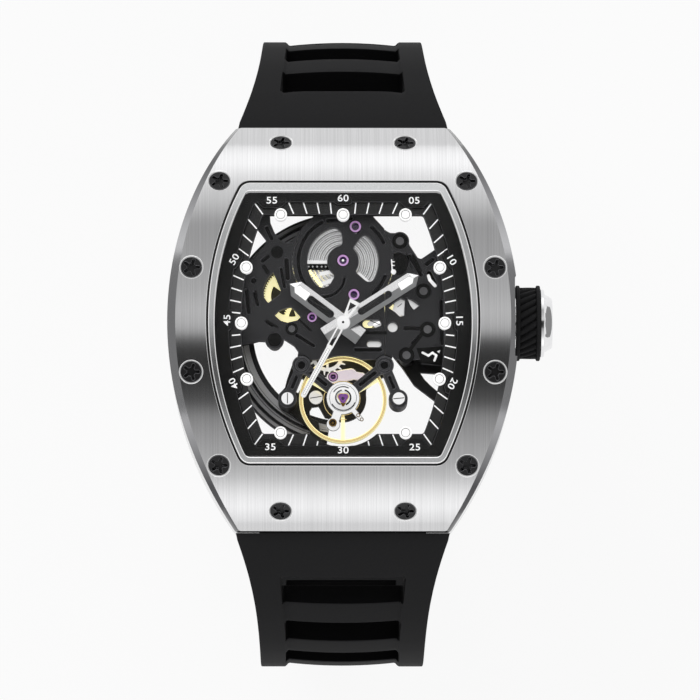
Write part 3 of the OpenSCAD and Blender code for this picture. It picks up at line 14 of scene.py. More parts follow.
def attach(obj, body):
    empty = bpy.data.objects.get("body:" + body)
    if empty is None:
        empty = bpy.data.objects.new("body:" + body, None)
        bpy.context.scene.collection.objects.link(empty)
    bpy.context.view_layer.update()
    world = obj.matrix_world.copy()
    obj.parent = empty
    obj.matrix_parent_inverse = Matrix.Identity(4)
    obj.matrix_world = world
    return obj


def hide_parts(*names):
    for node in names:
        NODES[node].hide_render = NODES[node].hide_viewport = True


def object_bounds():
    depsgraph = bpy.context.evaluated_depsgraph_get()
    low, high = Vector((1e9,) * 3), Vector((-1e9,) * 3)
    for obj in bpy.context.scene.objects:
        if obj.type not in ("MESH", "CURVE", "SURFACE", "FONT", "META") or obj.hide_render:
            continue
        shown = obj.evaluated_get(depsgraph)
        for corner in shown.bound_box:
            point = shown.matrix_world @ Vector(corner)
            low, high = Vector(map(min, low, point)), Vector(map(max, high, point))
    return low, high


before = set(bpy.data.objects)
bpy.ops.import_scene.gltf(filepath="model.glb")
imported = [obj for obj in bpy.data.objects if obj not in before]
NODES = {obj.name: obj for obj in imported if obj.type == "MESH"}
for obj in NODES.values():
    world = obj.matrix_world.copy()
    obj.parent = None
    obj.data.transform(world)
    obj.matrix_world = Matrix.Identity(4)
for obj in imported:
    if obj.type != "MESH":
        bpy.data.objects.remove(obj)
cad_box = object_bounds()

MM = 0.001

# %% [markdown]
# ## Camera
# The watch is photographed from the front, a little from below and a touch from the left, with a
# long lens. The hub of the hands is a good anchor: it has to fall on the same spot of the picture.
# Up and sideways shifts come from the aim point, so no lens shift is needed.

# %% Camera
TILT, YAW = math.radians(7), math.radians(0.3)
DISTANCE = 0.9
VIEW_WIDTH = 85.68 * MM
SENSOR = 36
HUB_Z = 12.3
AIM_RIGHT, AIM_UP = 0.842, -3.415


def new_object(name, data):
    """Put a mesh, a lamp, a camera or a curve into the scene as an object."""
    thing = bpy.data.objects.new(name, data)
    bpy.context.scene.collection.objects.link(thing)
    return thing


toward = Vector((-math.sin(YAW) * math.cos(TILT), -math.sin(TILT), math.cos(YAW) * math.cos(TILT)))
right = Vector((math.cos(YAW), 0, math.sin(YAW)))
up = toward.cross(right)
aim = (Vector((AIM_RIGHT, 0, HUB_Z)) + AIM_UP * up) * MM
camera = new_object("camera", bpy.data.cameras.new("camera"))
camera.data.sensor_width = SENSOR
camera.data.lens = SENSOR * DISTANCE / VIEW_WIDTH
camera.matrix_world = Matrix.Translation(aim + DISTANCE * toward) @ Matrix(
    (right, up, toward)).transposed().to_4x4()
bpy.context.scene.camera = camera
bpy.context.scene.view_settings.view_transform = "Standard"
print("lens", round(camera.data.lens, 1), "mm")

# %% [markdown]
# ## Nodes and colours
# A material is a small graph. One function adds a node with its settings and its links. A colour
# is written as the sRGB value that the eye reads on a screen, and turned to linear light by one
# function.

# %% Helpers for materials
def linear(hex_colour):
    """Turn an sRGB hex colour to the linear colour that a shader takes."""
    values = [int(hex_colour[i:i + 2], 16) / 255 for i in (1, 3, 5)]
    return tuple(v / 12.92 if v <= 0.04045 else ((v + 0.055) / 1.055) ** 2.4 for v in values) + (1,)


def add_node(tree, kind, sockets=None, **settings):
    """Add one node. A socket gets a number, a colour or the output of another node."""
    node = tree.nodes.new("ShaderNode" + kind)
    for name, value in settings.items():
        setattr(node, name, value)
    for socket, value in (sockets or {}).items():
        if isinstance(value, bpy.types.NodeSocket):
            tree.links.new(value, node.inputs[socket])
        else:
            node.inputs[socket].default_value = value
    return node


def new_material(name, colour, **finish):
    """A principled material with its colour and its constant numbers set on the shader itself."""
    material = bpy.data.materials.new(name)
    material.use_nodes = True
    tree = material.node_tree
    shader = tree.nodes["Principled BSDF"]
    shader.inputs["Base Color"].default_value = linear(colour)
    for key, value in finish.items():
        shader.inputs[key.replace("_", " ")].default_value = value
    return material, tree, shader


def grain(tree, shader, size, depth, tones=None, stretch=(1, 1, 1), detail=3.0):
    """Noise with grains of a real size in mm. It moves the surface and may vary its colour."""
    place = add_node(tree, "TexCoord").outputs["Object"]
    scaled = add_node(tree, "Mapping", {"Vector": place,
                                        "Scale": [s / (size * MM) for s in stretch]})
    noise = add_node(tree, "TexNoise", {"Vector": scaled.outputs[0], "Scale": 1.0,
                                        "Detail": detail})
    if tones:
        mix = add_node(tree, "Mix", {"Factor": noise.outputs["Fac"], "A": linear(tones[0]),
                                     "B": linear(tones[1])}, data_type="RGBA")
        tree.links.new(mix.outputs["Result"], shader.inputs["Base Color"])
    bump = add_node(tree, "Bump", {"Height": noise.outputs["Fac"], "Distance": depth * MM,
                                   "Strength": 1.0})
    tree.links.new(bump.outputs[0], shader.inputs["Normal"])


def grained(name, colour, size, depth, tones, stretch=(1, 1, 1), detail=3.0, **finish):
    """A whole material: its colour, its numbers, and a grain between two tones."""
    material, tree, shader = new_material(name, colour, **finish)
    grain(tree, shader, size, depth, tones, stretch, detail)
    return material


def glow(colour, strength):
    """Painted light: a little light of its own, for what short light paths lose between bright
    pieces.
    """
    return {"Emission_Color": linear(colour), "Emission_Strength": strength}


def fill_ramp(ramp, stops):
    """Set a colour ramp from pairs of place and colour."""
    elements = ramp.color_ramp.elements
    while len(elements) < len(stops):
        elements.new(1.0)
    for element, (place, colour) in zip(elements, stops):
        element.position, element.color = place, colour


print("half grey as linear light:", round(linear("#808080")[0], 3))

# %% [markdown]
# ## Studio
# A polished case shows its surroundings more than its own colour. Here they are one big tent that
# changes only along Y: bright walls, a dark slit just below the lens, and a bright strip above it.
# The bezel curves along Y, so it shows the whole tent, slit and all, while every flat and bright
# part looks straight into the strip. Grey cloths at both sides darken the flanks of the case.

# %% World and lamps
TENT_LIGHT = 1.5
# Degrees from straight above the dial, positive toward 12 o'clock, and tone
TENT = [(-180, 0.9), (-100, 0.95), (-87, 1.15), (-77, 1.35), (-68, 1.25), (-60, 1.05), (-52, 0.8),
        (-44, 0.66), (-31, 0.46), (-25, 0.36), (-20, 0.11), (-12, 0.045), (-3, 0.045), (0.5, 0.1),
        (3.5, 0.62), (10, 0.72), (17, 0.6), (30, 0.5), (40, 0.46), (47, 0.78), (60, 1.15),
        (72, 1.45), (82, 1.42), (92, 1.15), (100, 0.9), (115, 0.9), (180, 0.9)]
CLOTH_FROM, CLOTH_TO, CLOTH_TONE = 0.45, 0.72, 0.28


def grey(tone):
    """A grey of the tent, which the strength of the light brings up to its tone."""
    return [tone / TENT_LIGHT] * 3 + [1]


world = bpy.data.worlds.new("studio tent")
bpy.context.scene.world = world
world.use_nodes = True
tree = world.node_tree
tree.nodes.clear()
way = add_node(tree, "TexCoord").outputs["Generated"]
split = add_node(tree, "SeparateXYZ", {0: way})
angle = add_node(tree, "Math", {0: split.outputs["Y"], 1: split.outputs["Z"]}, operation="ARCTAN2")
share = add_node(tree, "MapRange", {0: angle.outputs[0], 1: -math.pi, 2: math.pi, 3: 0.0, 4: 1.0})
tones = add_node(tree, "ValToRGB", {0: share.outputs[0]})
fill_ramp(tones, [((degrees + 180) / 360, grey(tone)) for degrees, tone in TENT])
sideways = add_node(tree, "Math", {0: split.outputs["X"]}, operation="ABSOLUTE")
cloth = add_node(tree, "MapRange", {0: sideways.outputs[0], 1: CLOTH_FROM, 2: CLOTH_TO, 3: 0.0,
                                    4: 1.0})
hung = add_node(tree, "Mix", {"Factor": cloth.outputs[0], "A": tones.outputs[0],
                              "B": grey(CLOTH_TONE)}, data_type="RGBA")
tent = add_node(tree, "Background", {"Color": hung.outputs["Result"], "Strength": TENT_LIGHT})
white = add_node(tree, "Background", {"Color": (1, 1, 1, 1), "Strength": 1.0})
rays = add_node(tree, "LightPath")
seen = add_node(tree, "MixShader", {0: rays.outputs["Is Camera Ray"], 1: tent.outputs[0],
                                    2: white.outputs[0]})
add_node(tree, "OutputWorld", {0: seen.outputs[0]})


def soft_lamp(name, place, size, power):
    """A square soft lamp that faces the watch. It lights the watch but isn't mirrored in it."""
    lamp = new_object(name, bpy.data.lights.new(name, "AREA"))
    lamp.data.size, lamp.data.energy = size, power
    lamp.location = place
    lamp.rotation_euler = (-Vector(place)).to_track_quat("-Z", "Y").to_euler()
    lamp.visible_glossy = False


soft_lamp("key lamp", (-0.28, 0.3, 0.55), 0.3, 1.3)
soft_lamp("fill lamp", (0.4, -0.1, 0.5), 0.4, 0.4)
print("tent with", len(TENT), "tones and 2 soft lamps")

# %% [markdown]
# ## Floor
# The watch stands on its strap on white paper. The paper shines white by itself for the camera and
# for anything that mirrors it, and a share of it is plain matt paper, so the shadow still shows.

# %% Floor
FLOOR_HALF = 2.5
PAPER_SHARE = 0.1
floor_z = min(corner[2] for corner in cad_box)
sheet = bpy.data.meshes.new("floor")
sheet.from_pydata([(x * FLOOR_HALF, y * FLOOR_HALF, floor_z)
                   for x, y in ((-1, -1), (1, -1), (1, 1), (-1, 1))], [], [(0, 1, 2, 3)])
floor = new_object("floor", sheet)
paper = bpy.data.materials.new("white studio paper")
paper.use_nodes = True
tree = paper.node_tree
tree.nodes.clear()
matt = add_node(tree, "BsdfDiffuse", {"Color": linear("#f4f4f4")})
shine = add_node(tree, "Emission", {"Color": (1, 1, 1, 1), "Strength": 1.0})
bright = add_node(tree, "MixShader", {0: PAPER_SHARE, 1: shine.outputs[0], 2: matt.outputs[0]})
rays = add_node(tree, "LightPath")
mirrored = add_node(tree, "Math", {0: rays.outputs["Is Glossy Ray"],
                                   1: rays.outputs["Is Transmission Ray"]}, operation="MAXIMUM")
direct = add_node(tree, "Math", {0: rays.outputs["Is Camera Ray"], 1: mirrored.outputs[0]},
                  operation="MAXIMUM")
shown = add_node(tree, "MixShader", {0: direct.outputs[0], 1: matt.outputs[0],
                                     2: bright.outputs[0]})
add_node(tree, "OutputMaterial", {0: shown.outputs[0]})
sheet.materials.append(paper)
print("floor at", round(floor_z / MM, 2), "mm")

# %% [markdown]
# ## Case metal
# The bezel is titanium, drawn over a belt along the length of the case: fine parallel scratches
# that spread a reflection across the case and keep it sharp along it. Chamfers are buffed until
# they mirror the room. Real scratches are some 0.02 mm wide; here they are coarser, so that they
# show. The frame of the crystal, the hands and most small parts are steel.

# %% Titanium and steel finishes
SCRATCH, BELT = 0.12, (1, 0.006, 0.006)

# Belt scratches make a reflection streak across the case
titanium_brushed = grained("belt-brushed titanium", "#d9d9da", SCRATCH, 0.004,
                           ("#c0c0c1", "#e2e2e3"), BELT, 6.0, Metallic=1.0, Roughness=0.13)
# A satin flat looks even and a little soft beside the buffed edges
steel_satin = grained("satin steel", "#d6d7d8", 0.1, 0.003, ("#c8c9ca", "#e0e1e2"), (1, 0.05, 1),
                      Metallic=1.0, Roughness=0.26)
# Buffed steel mirrors the tent almost without blur
steel_polished = grained("buffed steel", "#ececed", 0.6, 0.0006, ("#e4e4e5", "#f0f0f1"),
                         Metallic=1.0, Roughness=0.08)
# Rhodium is whiter than steel and keeps the mirror facet of a hand bright
steel_mirror = grained("rhodium-plated steel", "#fafafa", 0.25, 0.0005, ("#f6f6f7", "#fdfdfd"),
                       Metallic=0.85, Roughness=0.16)
# The other facet of a hand is straight-grained, and its grey colour is painted shade
steel_grained_painted_shade = grained("straight-grained steel with painted shade", "#b9babb", 0.1, 0.002, ("#aeafb0", "#c4c5c6"),
                        (1, 1, 0.2), Metallic=1.0, Roughness=0.3)
# Small steel parts are polished flat and throw the strip of light straight back at the lens; a
# painted glow makes them brighter still
steel_painted_glow = grained("black-polished steel with painted glow", "#fbfbfb", 0.2, 0.0006, ("#f6f6f6", "#ffffff"),
                       Metallic=0.6, Roughness=0.22, **glow("#ffffff", 0.3))
# Painted light: the cock under the balance is tinted violet and glows, for the light the rubies
# beside it throw on it
cock_steel_painted_violet_glow = grained("frosted steel with painted violet glow", "#efe6f1", 0.15, 0.001, ("#eadff0", "#f6eef7"),
                     Metallic=0.3, Roughness=0.4, **glow("#f4e8f6", 0.35))
# A spring is bright along its rounded edge, and a painted glow brightens it further
spring_steel_painted_glow = grained("polished spring steel with painted glow", "#f4f5f6", 0.2, 0.001, ("#eeeff0", "#f9f9fa"),
                       Metallic=0.8, Roughness=0.24, **glow("#ffffff", 0.12))
print("materials so far:", len(bpy.data.materials))

# %% [markdown]
# ## Two metals that change along the case
# The middle case is brushed like the bezel, but at its hinge seats under the strap it is near black
# and matt. The buffed chamfer beside the bezel is painted darker toward both ends, a painted
# reflection of the dark strap. Both need the distance from the middle of the case, which the object
# coordinates give.

# %% Middle case and chamfer
SEAT_FROM, SEAT_TONE = 25.08 * MM, "#0c0c0d"
CASE_ROUGH, SEAT_ROUGH = 0.15, 0.8
CHAMFER_FROM, CHAMFER_TO = 9 * MM, 20 * MM


def along_case(tree):
    """Distance of a spot from the middle of the case, along its length."""
    place = add_node(tree, "SeparateXYZ", {0: add_node(tree, "TexCoord").outputs["Object"]})
    return add_node(tree, "Math", {0: place.outputs["Y"]}, operation="ABSOLUTE").outputs[0]


case_titanium, tree, shader = new_material("brushed middle case", "#d0d0d1", Metallic=1.0,
                                           Roughness=CASE_ROUGH)
grain(tree, shader, SCRATCH, 0.004, ("#b8b8b9", "#dededf"), BELT, 6.0)
brushed_tone = shader.inputs["Base Color"].links[0].from_socket
seat = add_node(tree, "Math", {0: along_case(tree), 1: SEAT_FROM}, operation="GREATER_THAN")
tone = add_node(tree, "Mix", {"Factor": seat.outputs[0], "A": brushed_tone, "B": linear(SEAT_TONE)},
                data_type="RGBA")
tree.links.new(tone.outputs["Result"], shader.inputs["Base Color"])
for socket, metal, black in (("Roughness", CASE_ROUGH, SEAT_ROUGH), ("Metallic", 1.0, 0.0)):
    value = add_node(tree, "MapRange", {0: seat.outputs[0], 1: 0.0, 2: 1.0, 3: metal, 4: black})
    tree.links.new(value.outputs[0], shader.inputs[socket])

# Painted reflection: a darker grey than buffed steel, darkening further toward both ends as if the
# chamfer mirrored the dark strap
chamfer_painted_reflection, tree, shader = new_material("buffed chamfer of the case with painted reflection", "#a6a6a8",
                                              Metallic=1.0, Roughness=0.12)
grain(tree, shader, 0.6, 0.0006)
share = add_node(tree, "MapRange", {0: along_case(tree), 1: CHAMFER_FROM, 2: CHAMFER_TO, 3: 0.0,
                                    4: 1.0})
tone = add_node(tree, "Mix", {"Factor": share.outputs[0], "A": linear("#c4c4c6"),
                              "B": linear("#4a4a4c")}, data_type="RGBA")
tree.links.new(tone.outputs["Result"], shader.inputs["Base Color"])
print("materials so far:", len(bpy.data.materials))

# %% [markdown]
# ## Black parts
# The bridges are coated black in a vacuum, which keeps the bead-blasted grain of the metal. Their
# upper faces are dark grey in the light; the grooves and side walls below are painted nearly black
# as shade; the chamfers are painted a lighter line as a highlight. The height in the model tells an
# upper face from a groove.

# %% Black finishes
# The tone turns from face to painted groove shade between these two depths under the upper face, in
# mm
EDGE_DEPTH, GROOVE_DEPTH = 0.04, 0.16


def black_coating_with_painted_shade(name, face, groove, level):
    """Black coating: one tone down to a height in mm, and a darker painted shade below it."""
    material, tree, shader = new_material(name, face, Metallic=0.2, Roughness=0.5)
    grain(tree, shader, 0.12, 0.004)
    height = add_node(tree, "SeparateXYZ", {0: add_node(tree, "TexCoord").outputs["Object"]})
    above = add_node(tree, "MapRange", {0: height.outputs["Z"], 1: (level - GROOVE_DEPTH) * MM,
                                        2: (level - EDGE_DEPTH) * MM, 3: 0.0, 4: 1.0})
    tone = add_node(tree, "Mix", {"Factor": above.outputs[0], "A": linear(groove),
                                  "B": linear(face)}, data_type="RGBA")
    tree.links.new(tone.outputs["Result"], shader.inputs["Base Color"])
    return material


BRIDGE_TOP, BALANCE_BRIDGE_TOP, PLATE_TOP = 8.8, 9.05, 4.4
black_coat = black_coating_with_painted_shade("black-coated bridge", "#343436", "#0b0b0c", BRIDGE_TOP)
balance_coat = black_coating_with_painted_shade("black-coated balance bridge", "#3c3c3e", "#0b0b0c",
                             BALANCE_BRIDGE_TOP)
plate_coat = black_coating_with_painted_shade("black-coated plate", "#28282a", "#101011", PLATE_TOP)

# Painted highlight: the chamfer of a coated bridge is painted a lighter grey line
black_edge_painted_highlight = grained("chamfer of a black bridge with painted highlight", "#6c6c6f", 0.12, 0.002, ("#626265", "#767679"),
                     Metallic=0.5, Roughness=0.4)
# Painted shade: the ring round the movement lies in shade, so it is painted nearly black
movement_ring_painted_shade = grained("painted shade on the movement ring", "#0c0c0d", 0.12, 0.004, ("#0a0a0b", "#101011"),
                     Metallic=0.1, Roughness=0.6)
# Matt lacquer has no highlight, so the white print stands out; the track is a little greyer
flange_paint = grained("matt black lacquer", "#0f0f0f", 0.08, 0.002, ("#0d0d0d", "#121212"),
                       Roughness=0.65)
track_paint = grained("grey-black lacquer", "#2c2c2c", 0.08, 0.002, ("#2a2a2a", "#303030"),
                      Roughness=0.62)
# Blackened screws keep a dull metallic shine, and a head that is faced again is grey
screw_black = grained("blackened screw steel", "#2a2a2b", 0.15, 0.003, ("#242425", "#323233"),
                      Metallic=0.6, Roughness=0.42)
screw_grey_and_painted_shade = grained("faced screw head and painted grey shade", "#6e6e70", 0.15, 0.003, ("#666668", "#767678"),
                     Metallic=0.4, Roughness=0.45)
# Moulded rubber is dark grey in the light; the walls inside its windows are painted nearly black as
# shade
rubber = grained("moulded black rubber", "#242425", 0.18, 0.006, ("#202021", "#282829"),
                 Roughness=0.75, Specular_IOR_Level=0.12)
rubber_painted_shade = grained("painted shade on rubber inside the windows", "#070708", 0.18, 0.006, ("#060607", "#09090a"),
                       Roughness=0.85, Specular_IOR_Level=0.08)
gasket_rubber = grained("gasket rubber", "#050505", 0.1, 0.002, ("#040404", "#080808"),
                        Roughness=0.7)
# Painted shadow: gaps, holes, slots and the foot of steps, where little light falls, are painted
# plain black
painted_shadow_black = grained("painted black shadow", "#060606", 0.1, 0.001, ("#050505", "#080808"), Roughness=0.8)
print("materials so far:", len(bpy.data.materials))

# %% [markdown]
# ## Movement metals and stones
# Wheels are brass under thin gilding, pale and a little satin, with a painted glow. The balance rim
# is a warmer copper alloy, also with a painted glow. The bearings are synthetic ruby, pink to
# violet, with a painted glow on their rims. The rotor is a heavy grey alloy, turned on a lathe, so
# its grooves run round the axis of the hands.

# %% Movement finishes
# Painted light: thin gilding throws light from wheel to wheel, and a painted glow stands in for it
gilt = grained("gilt brass with painted glow", "#fdf4c6", 0.1, 0.002, ("#faeebb", "#fef8d4"), Metallic=0.6,
               Roughness=0.34, **glow("#f8f0b8", 0.85))
# Painted light: the balance rim, the hairspring and the gilt rims of pins glow a little
rim_gold_painted_glow = grained("polished beryllium copper with painted glow", "#f6dc9c", 0.1, 0.001, ("#f1d48e", "#fae4ac"),
                   Metallic=0.8, Roughness=0.24, **glow("#ecd28c", 0.3))
olive_gold = grained("dark gilt stud", "#7a5c1c", 0.1, 0.001, ("#6e5218", "#886824"), Metallic=0.4,
                     Roughness=0.35)
pale_gold_painted_glow = grained("gilt rim of a pin with painted glow", "#e6c877", 0.1, 0.001, ("#dcbc68", "#eed38a"),
                    Metallic=0.5, Roughness=0.3, **glow("#d9b860", 0.2))

# Painted light on a ruby: a glow on its rim, painted shade in its oil cup, and a ring of painted
# violet shade round it
ruby_rim_painted_glow = grained("ruby rim with painted glow", "#d8a0dc", 0.4, 0.001, ("#c493d6", "#dbaee2"),
                   Roughness=0.15, IOR=1.76, Coat_Weight=0.5, **glow("#d8a0dc", 0.15))
ruby = grained("synthetic ruby", "#7c2c9c", 0.3, 0.001, ("#6a2490", "#8f38aa"), Roughness=0.12,
               IOR=1.76, Coat_Weight=0.6)
ruby_cup_painted_shade = grained("oil cup of a ruby with painted shade", "#2a0840", 0.4, 0.001, ("#220636", "#340c4c"),
                    Roughness=0.2, IOR=1.76)
ruby_ring_painted_shade = grained("painted violet shade round a ruby", "#150a18", 0.3, 0.001, ("#100712", "#1c0e20"),
                    Roughness=0.5)

# Luminous paint gives back a little of the light it has soaked up; here a painted glow keeps the
# paint and the print white even in shade
white_lume_painted_glow = grained("white luminous paint with painted glow", "#fdfdfb", 0.05, 0.002, ("#fafaf8", "#fefefd"),
                     Roughness=0.5, **glow("#ffffff", 0.5))
white_print_painted_glow = grained("white pad print with painted glow", "#f8f8f8", 0.05, 0.001, ("#f4f4f4", "#fbfbfb"),
                      Roughness=0.55, **glow("#ffffff", 0.45))
# Painted shade: a grey for the groove of a marker and for chamfers and borders round white paint
painted_shade_grey = grained("painted grey shade on grooves and chamfers", "#b0b0b0", 0.05, 0.002, ("#a8a8a8", "#b8b8b8"),
                      Roughness=0.5)
print("materials so far:", len(bpy.data.materials))

# %% [markdown]
# ## Rotor alloy
# The rotor is turned in steps, and each step mirrors another part of the room. A colour ramp along
# the radius paints those reflections as tones of the steps, with hard borders.

# %% Rotor alloy
# Painted reflections: tones of the turned bands, from their inner radius in mm on
RAMP_R = 15
ROTOR_PAINTED_REFLECTIONS = [(0, "#5a5a5d"), (11.05, "#38383a"), (11.7, "#f0f0f2"), (12.6, "#1a1a1b"),
               (12.85, "#cfcfd2"), (13.7, "#2e2e30"), (14.0, "#d0d0d3"), (14.45, "#58585a")]
rotor_alloy_painted_reflections, tree, shader = new_material("turned tungsten alloy with painted reflections", "#4c4c4f", Metallic=0.3,
                                         Roughness=0.42)
grain(tree, shader, 0.3, 0.004, stretch=(1, 1, 0.2))
place = add_node(tree, "TexCoord").outputs["Object"]
level = add_node(tree, "VectorMath", {0: place, 1: (1, 1, 0)}, operation="MULTIPLY")
radius = add_node(tree, "VectorMath", {0: level.outputs[0]}, operation="LENGTH")
share = add_node(tree, "MapRange", {0: radius.outputs["Value"], 1: 0.0, 2: RAMP_R * MM, 3: 0.0,
                                    4: 1.0})
bands = add_node(tree, "ValToRGB", {0: share.outputs[0]})
bands.color_ramp.interpolation = "CONSTANT"
fill_ramp(bands, [(start / RAMP_R, linear(tone)) for start, tone in ROTOR_PAINTED_REFLECTIONS])
tree.links.new(bands.outputs[0], shader.inputs["Base Color"])
print("rotor with", len(ROTOR_PAINTED_REFLECTIONS), "bands")

# %% [markdown]
# ## Crystal
# Sapphire with an anti-glare coat is nearly invisible: it lets the light straight through and
# mirrors a little more where it is seen at a slant. A clear surface mixed with a mirror by Fresnel
# gives that, and the shadows inside the case stay as light as they are on the real watch.

# %% Sapphire
sapphire = bpy.data.materials.new("coated sapphire")
sapphire.use_nodes = True
tree = sapphire.node_tree
tree.nodes.clear()
clear = add_node(tree, "BsdfTransparent", {"Color": (1, 1, 1, 1)})
mirror = add_node(tree, "BsdfGlossy", {"Color": (1, 1, 1, 1), "Roughness": 0.02})
slant = add_node(tree, "Fresnel", {"IOR": 1.12})
pane = add_node(tree, "MixShader", {0: slant.outputs[0], 1: clear.outputs[0], 2: mirror.outputs[0]})
add_node(tree, "OutputMaterial", {0: pane.outputs[0]})
print("materials in all:", len(bpy.data.materials))

# %% [markdown]
# ## Shapes of the case
# Every outline of the case is a tonneau: two long arcs for the sides, flat ends, and rounded
# corners. One function draws it with the same number of points at any size, so that outlines
# inside one another can be joined with quads. The front bends down toward the strap.

# %% Tonneau outlines and the front curve
CASE = dict(hw=21.5, hl=25.15, r=42.0, rc=0.6)
OPENING = dict(hw=16.75, hl=17.6, r=38.0, rc=1.7)
WINDOW = dict(hw=12.5, hl=13.54, r=35.8, rc=0.4)
CASE_T, BEZEL_T = 15.3, 2.4
TOP_R, END_R, KNEE_Y = 44.0, 19.0, 17.3
KNEE_S = KNEE_Y / TOP_R


def grow(shape, by):
    """The same outline, moved outward by a distance."""
    return {key: value + by for key, value in shape.items()}


def outline(shape, sides=26, turns=7, ends=14):
    """Points of a tonneau outline, anticlockwise from its middle on the +X side."""
    hw, hl, r, rc = shape["hw"], shape["hl"], shape["r"], shape["rc"]
    side_x = hw - r
    corner_x = side_x + math.sqrt((r - rc) ** 2 - (hl - rc) ** 2)
    reach = math.atan2(hl - rc, corner_x - side_x)
    quarter = [(side_x + r * math.cos(reach * i / sides), r * math.sin(reach * i / sides))
               for i in range(sides + 1)]
    for j in range(1, turns + 1):
        turn = reach + (math.pi / 2 - reach) * j / turns
        quarter.append((corner_x + rc * math.cos(turn), hl - rc + rc * math.sin(turn)))
    quarter += [(corner_x * (1 - k / ends), hl) for k in range(1, ends + 1)]
    left = [(-x, y) for x, y in reversed(quarter)]
    return (quarter + left[1:] + [(-x, -y) for x, y in quarter[1:]]
            + [(x, -y) for x, y in reversed(quarter[1:-1])])


def front_sine(y):
    """Sine of the slope of the front at y."""
    return abs(y) / TOP_R if abs(y) <= KNEE_Y else KNEE_S + (abs(y) - KNEE_Y) / END_R


def front_z(y):
    """Height of the front at y."""
    cosine = math.sqrt(1 - front_sine(y) ** 2)
    if abs(y) <= KNEE_Y:
        return CASE_T - TOP_R * (1 - cosine)
    knee = math.sqrt(1 - KNEE_S ** 2)
    return CASE_T - TOP_R * (1 - knee) - END_R * (knee - cosine)


def under_front(points, depth):
    """Lift an outline to a depth under the front."""
    return [(x, y, front_z(y) - depth) for x, y in points]


def flat(points, z):
    """Lift an outline to a height."""
    return [(x, y, z) for x, y in points]


print("outline of", len(outline(CASE)), "points")

# %% [markdown]
# ## Shapes in millimetres
# Most round and ring-shaped pieces are a stack of closed loops with quads between them, and flat
# ones are prisms. One class gathers such solids in mm and gives them back as one mesh in metres.

# %% Shapes in millimetres
def turned(x, y, z, degrees=0.0):
    """A place on the dial, turned about the z axis."""
    return Matrix.Translation((x, y, z)) @ Matrix.Rotation(math.radians(degrees), 4, "Z")


def circle(steps):
    """Directions round a full turn, as pairs of cosine and sine."""
    return [(math.cos(2 * math.pi * i / steps), math.sin(2 * math.pi * i / steps))
            for i in range(steps)]


def rectangle(x0, x1, y0, y1):
    """Outline of a rectangle."""
    return [(x0, y0), (x1, y0), (x1, y1), (x0, y1)]


class Shape:
    """Points in mm and faces, gathered from several solids into one mesh."""

    def __init__(self):
        self.points, self.faces, self.finish = [], [], []

    def stack(self, loops, finishes=0, closed=True, matrix=None):
        """Join loops of the same count with quads, and the last one with the first if closed."""
        start, count = len(self.points), len(loops[0])
        for loop in loops:
            self.points += [tuple(matrix @ Vector(p)) if matrix else p for p in loop]
        rows = len(loops) if closed else len(loops) - 1
        for row in range(rows):
            a, b = start + row * count, start + (row + 1) % len(loops) * count
            finish = finishes[row] if isinstance(finishes, (list, tuple)) else finishes
            for i in range(count):
                j = (i + 1) % count
                self.faces.append((a + i, a + j, b + j, b + i))
                self.finish.append(finish)

    def lathe(self, profile, steps=48, finishes=0, matrix=None):
        """Turn a profile of (radius, height) round the z axis."""
        loops = [[(r * c, r * s, z) for c, s in circle(steps)] for r, z in profile]
        self.stack(loops, finishes, closed=False, matrix=matrix)

    def prism(self, points, z0, z1, bevel=0.0, finishes=(0, 0), matrix=None):
        """A flat-topped block over a convex outline, with its top edge chamfered."""
        middle = Vector((sum(p[0] for p in points), sum(p[1] for p in points))) / len(points)
        arms = [Vector(p) - middle for p in points]
        inner = [tuple(middle + arm * (1 - bevel / max(arm.length, 1e-6))) for arm in arms]
        loops = [flat(points, z0), flat(points, z1 - bevel), flat(inner, z1)]
        start, count = len(self.points), len(points)
        self.stack(loops, finishes, closed=False, matrix=matrix)
        self.faces.append(tuple(start + i for i in reversed(range(count))))
        self.finish.append(finishes[0])
        self.faces.append(tuple(start + 2 * count + i for i in range(count)))
        self.finish.append(finishes[0])

    def mesh(self, name):
        """The gathered shape as a mesh in metres."""
        mesh = bpy.data.meshes.new(name)
        mesh.from_pydata([tuple(c * MM for c in p) for p in self.points], [], self.faces)
        mesh.polygons.foreach_set("material_index", self.finish)
        return mesh


print("a disc of 48 steps has", len(circle(48)), "points")

# %% [markdown]
# ## Making pieces
# A piece is a mesh that rides on a body of the frame. Its soft surfaces are shaded smooth and its
# real edges stay crisp: an edge is marked sharp where its two faces meet at more than a set angle.

# %% Helpers for pieces
def mark_edges(mesh, degrees, clean=False):
    """Shade a mesh smooth and mark its real edges sharp. A new mesh is cleaned first."""
    shape = bmesh.new()
    shape.from_mesh(mesh)
    if clean:
        bmesh.ops.remove_doubles(shape, verts=shape.verts, dist=1e-7)
        bmesh.ops.recalc_face_normals(shape, faces=shape.faces)
    for face in shape.faces:
        face.smooth = True
    for edge in shape.edges:
        if len(edge.link_faces) == 2:
            edge.smooth = edge.calc_face_angle(0) < math.radians(degrees)
    shape.to_mesh(mesh)
    shape.free()


def place_piece(name, shape, body, materials, crease=32, replaces=()):
    """Put a shape or a ready mesh on its body."""
    mesh = shape.mesh(name) if isinstance(shape, Shape) else shape
    mark_edges(mesh, crease, clean=True)
    for material in materials:
        mesh.materials.append(material)
    piece = new_object(name, mesh)
    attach(piece, body)
    if replaces:
        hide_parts(*replaces)
    return piece


def final_mesh(thing):
    """The mesh that an object ends up with: modifiers done, a text or a curve filled."""
    bpy.context.view_layer.update()
    return bpy.data.meshes.new_from_object(thing.evaluated_get(
        bpy.context.evaluated_depsgraph_get()))


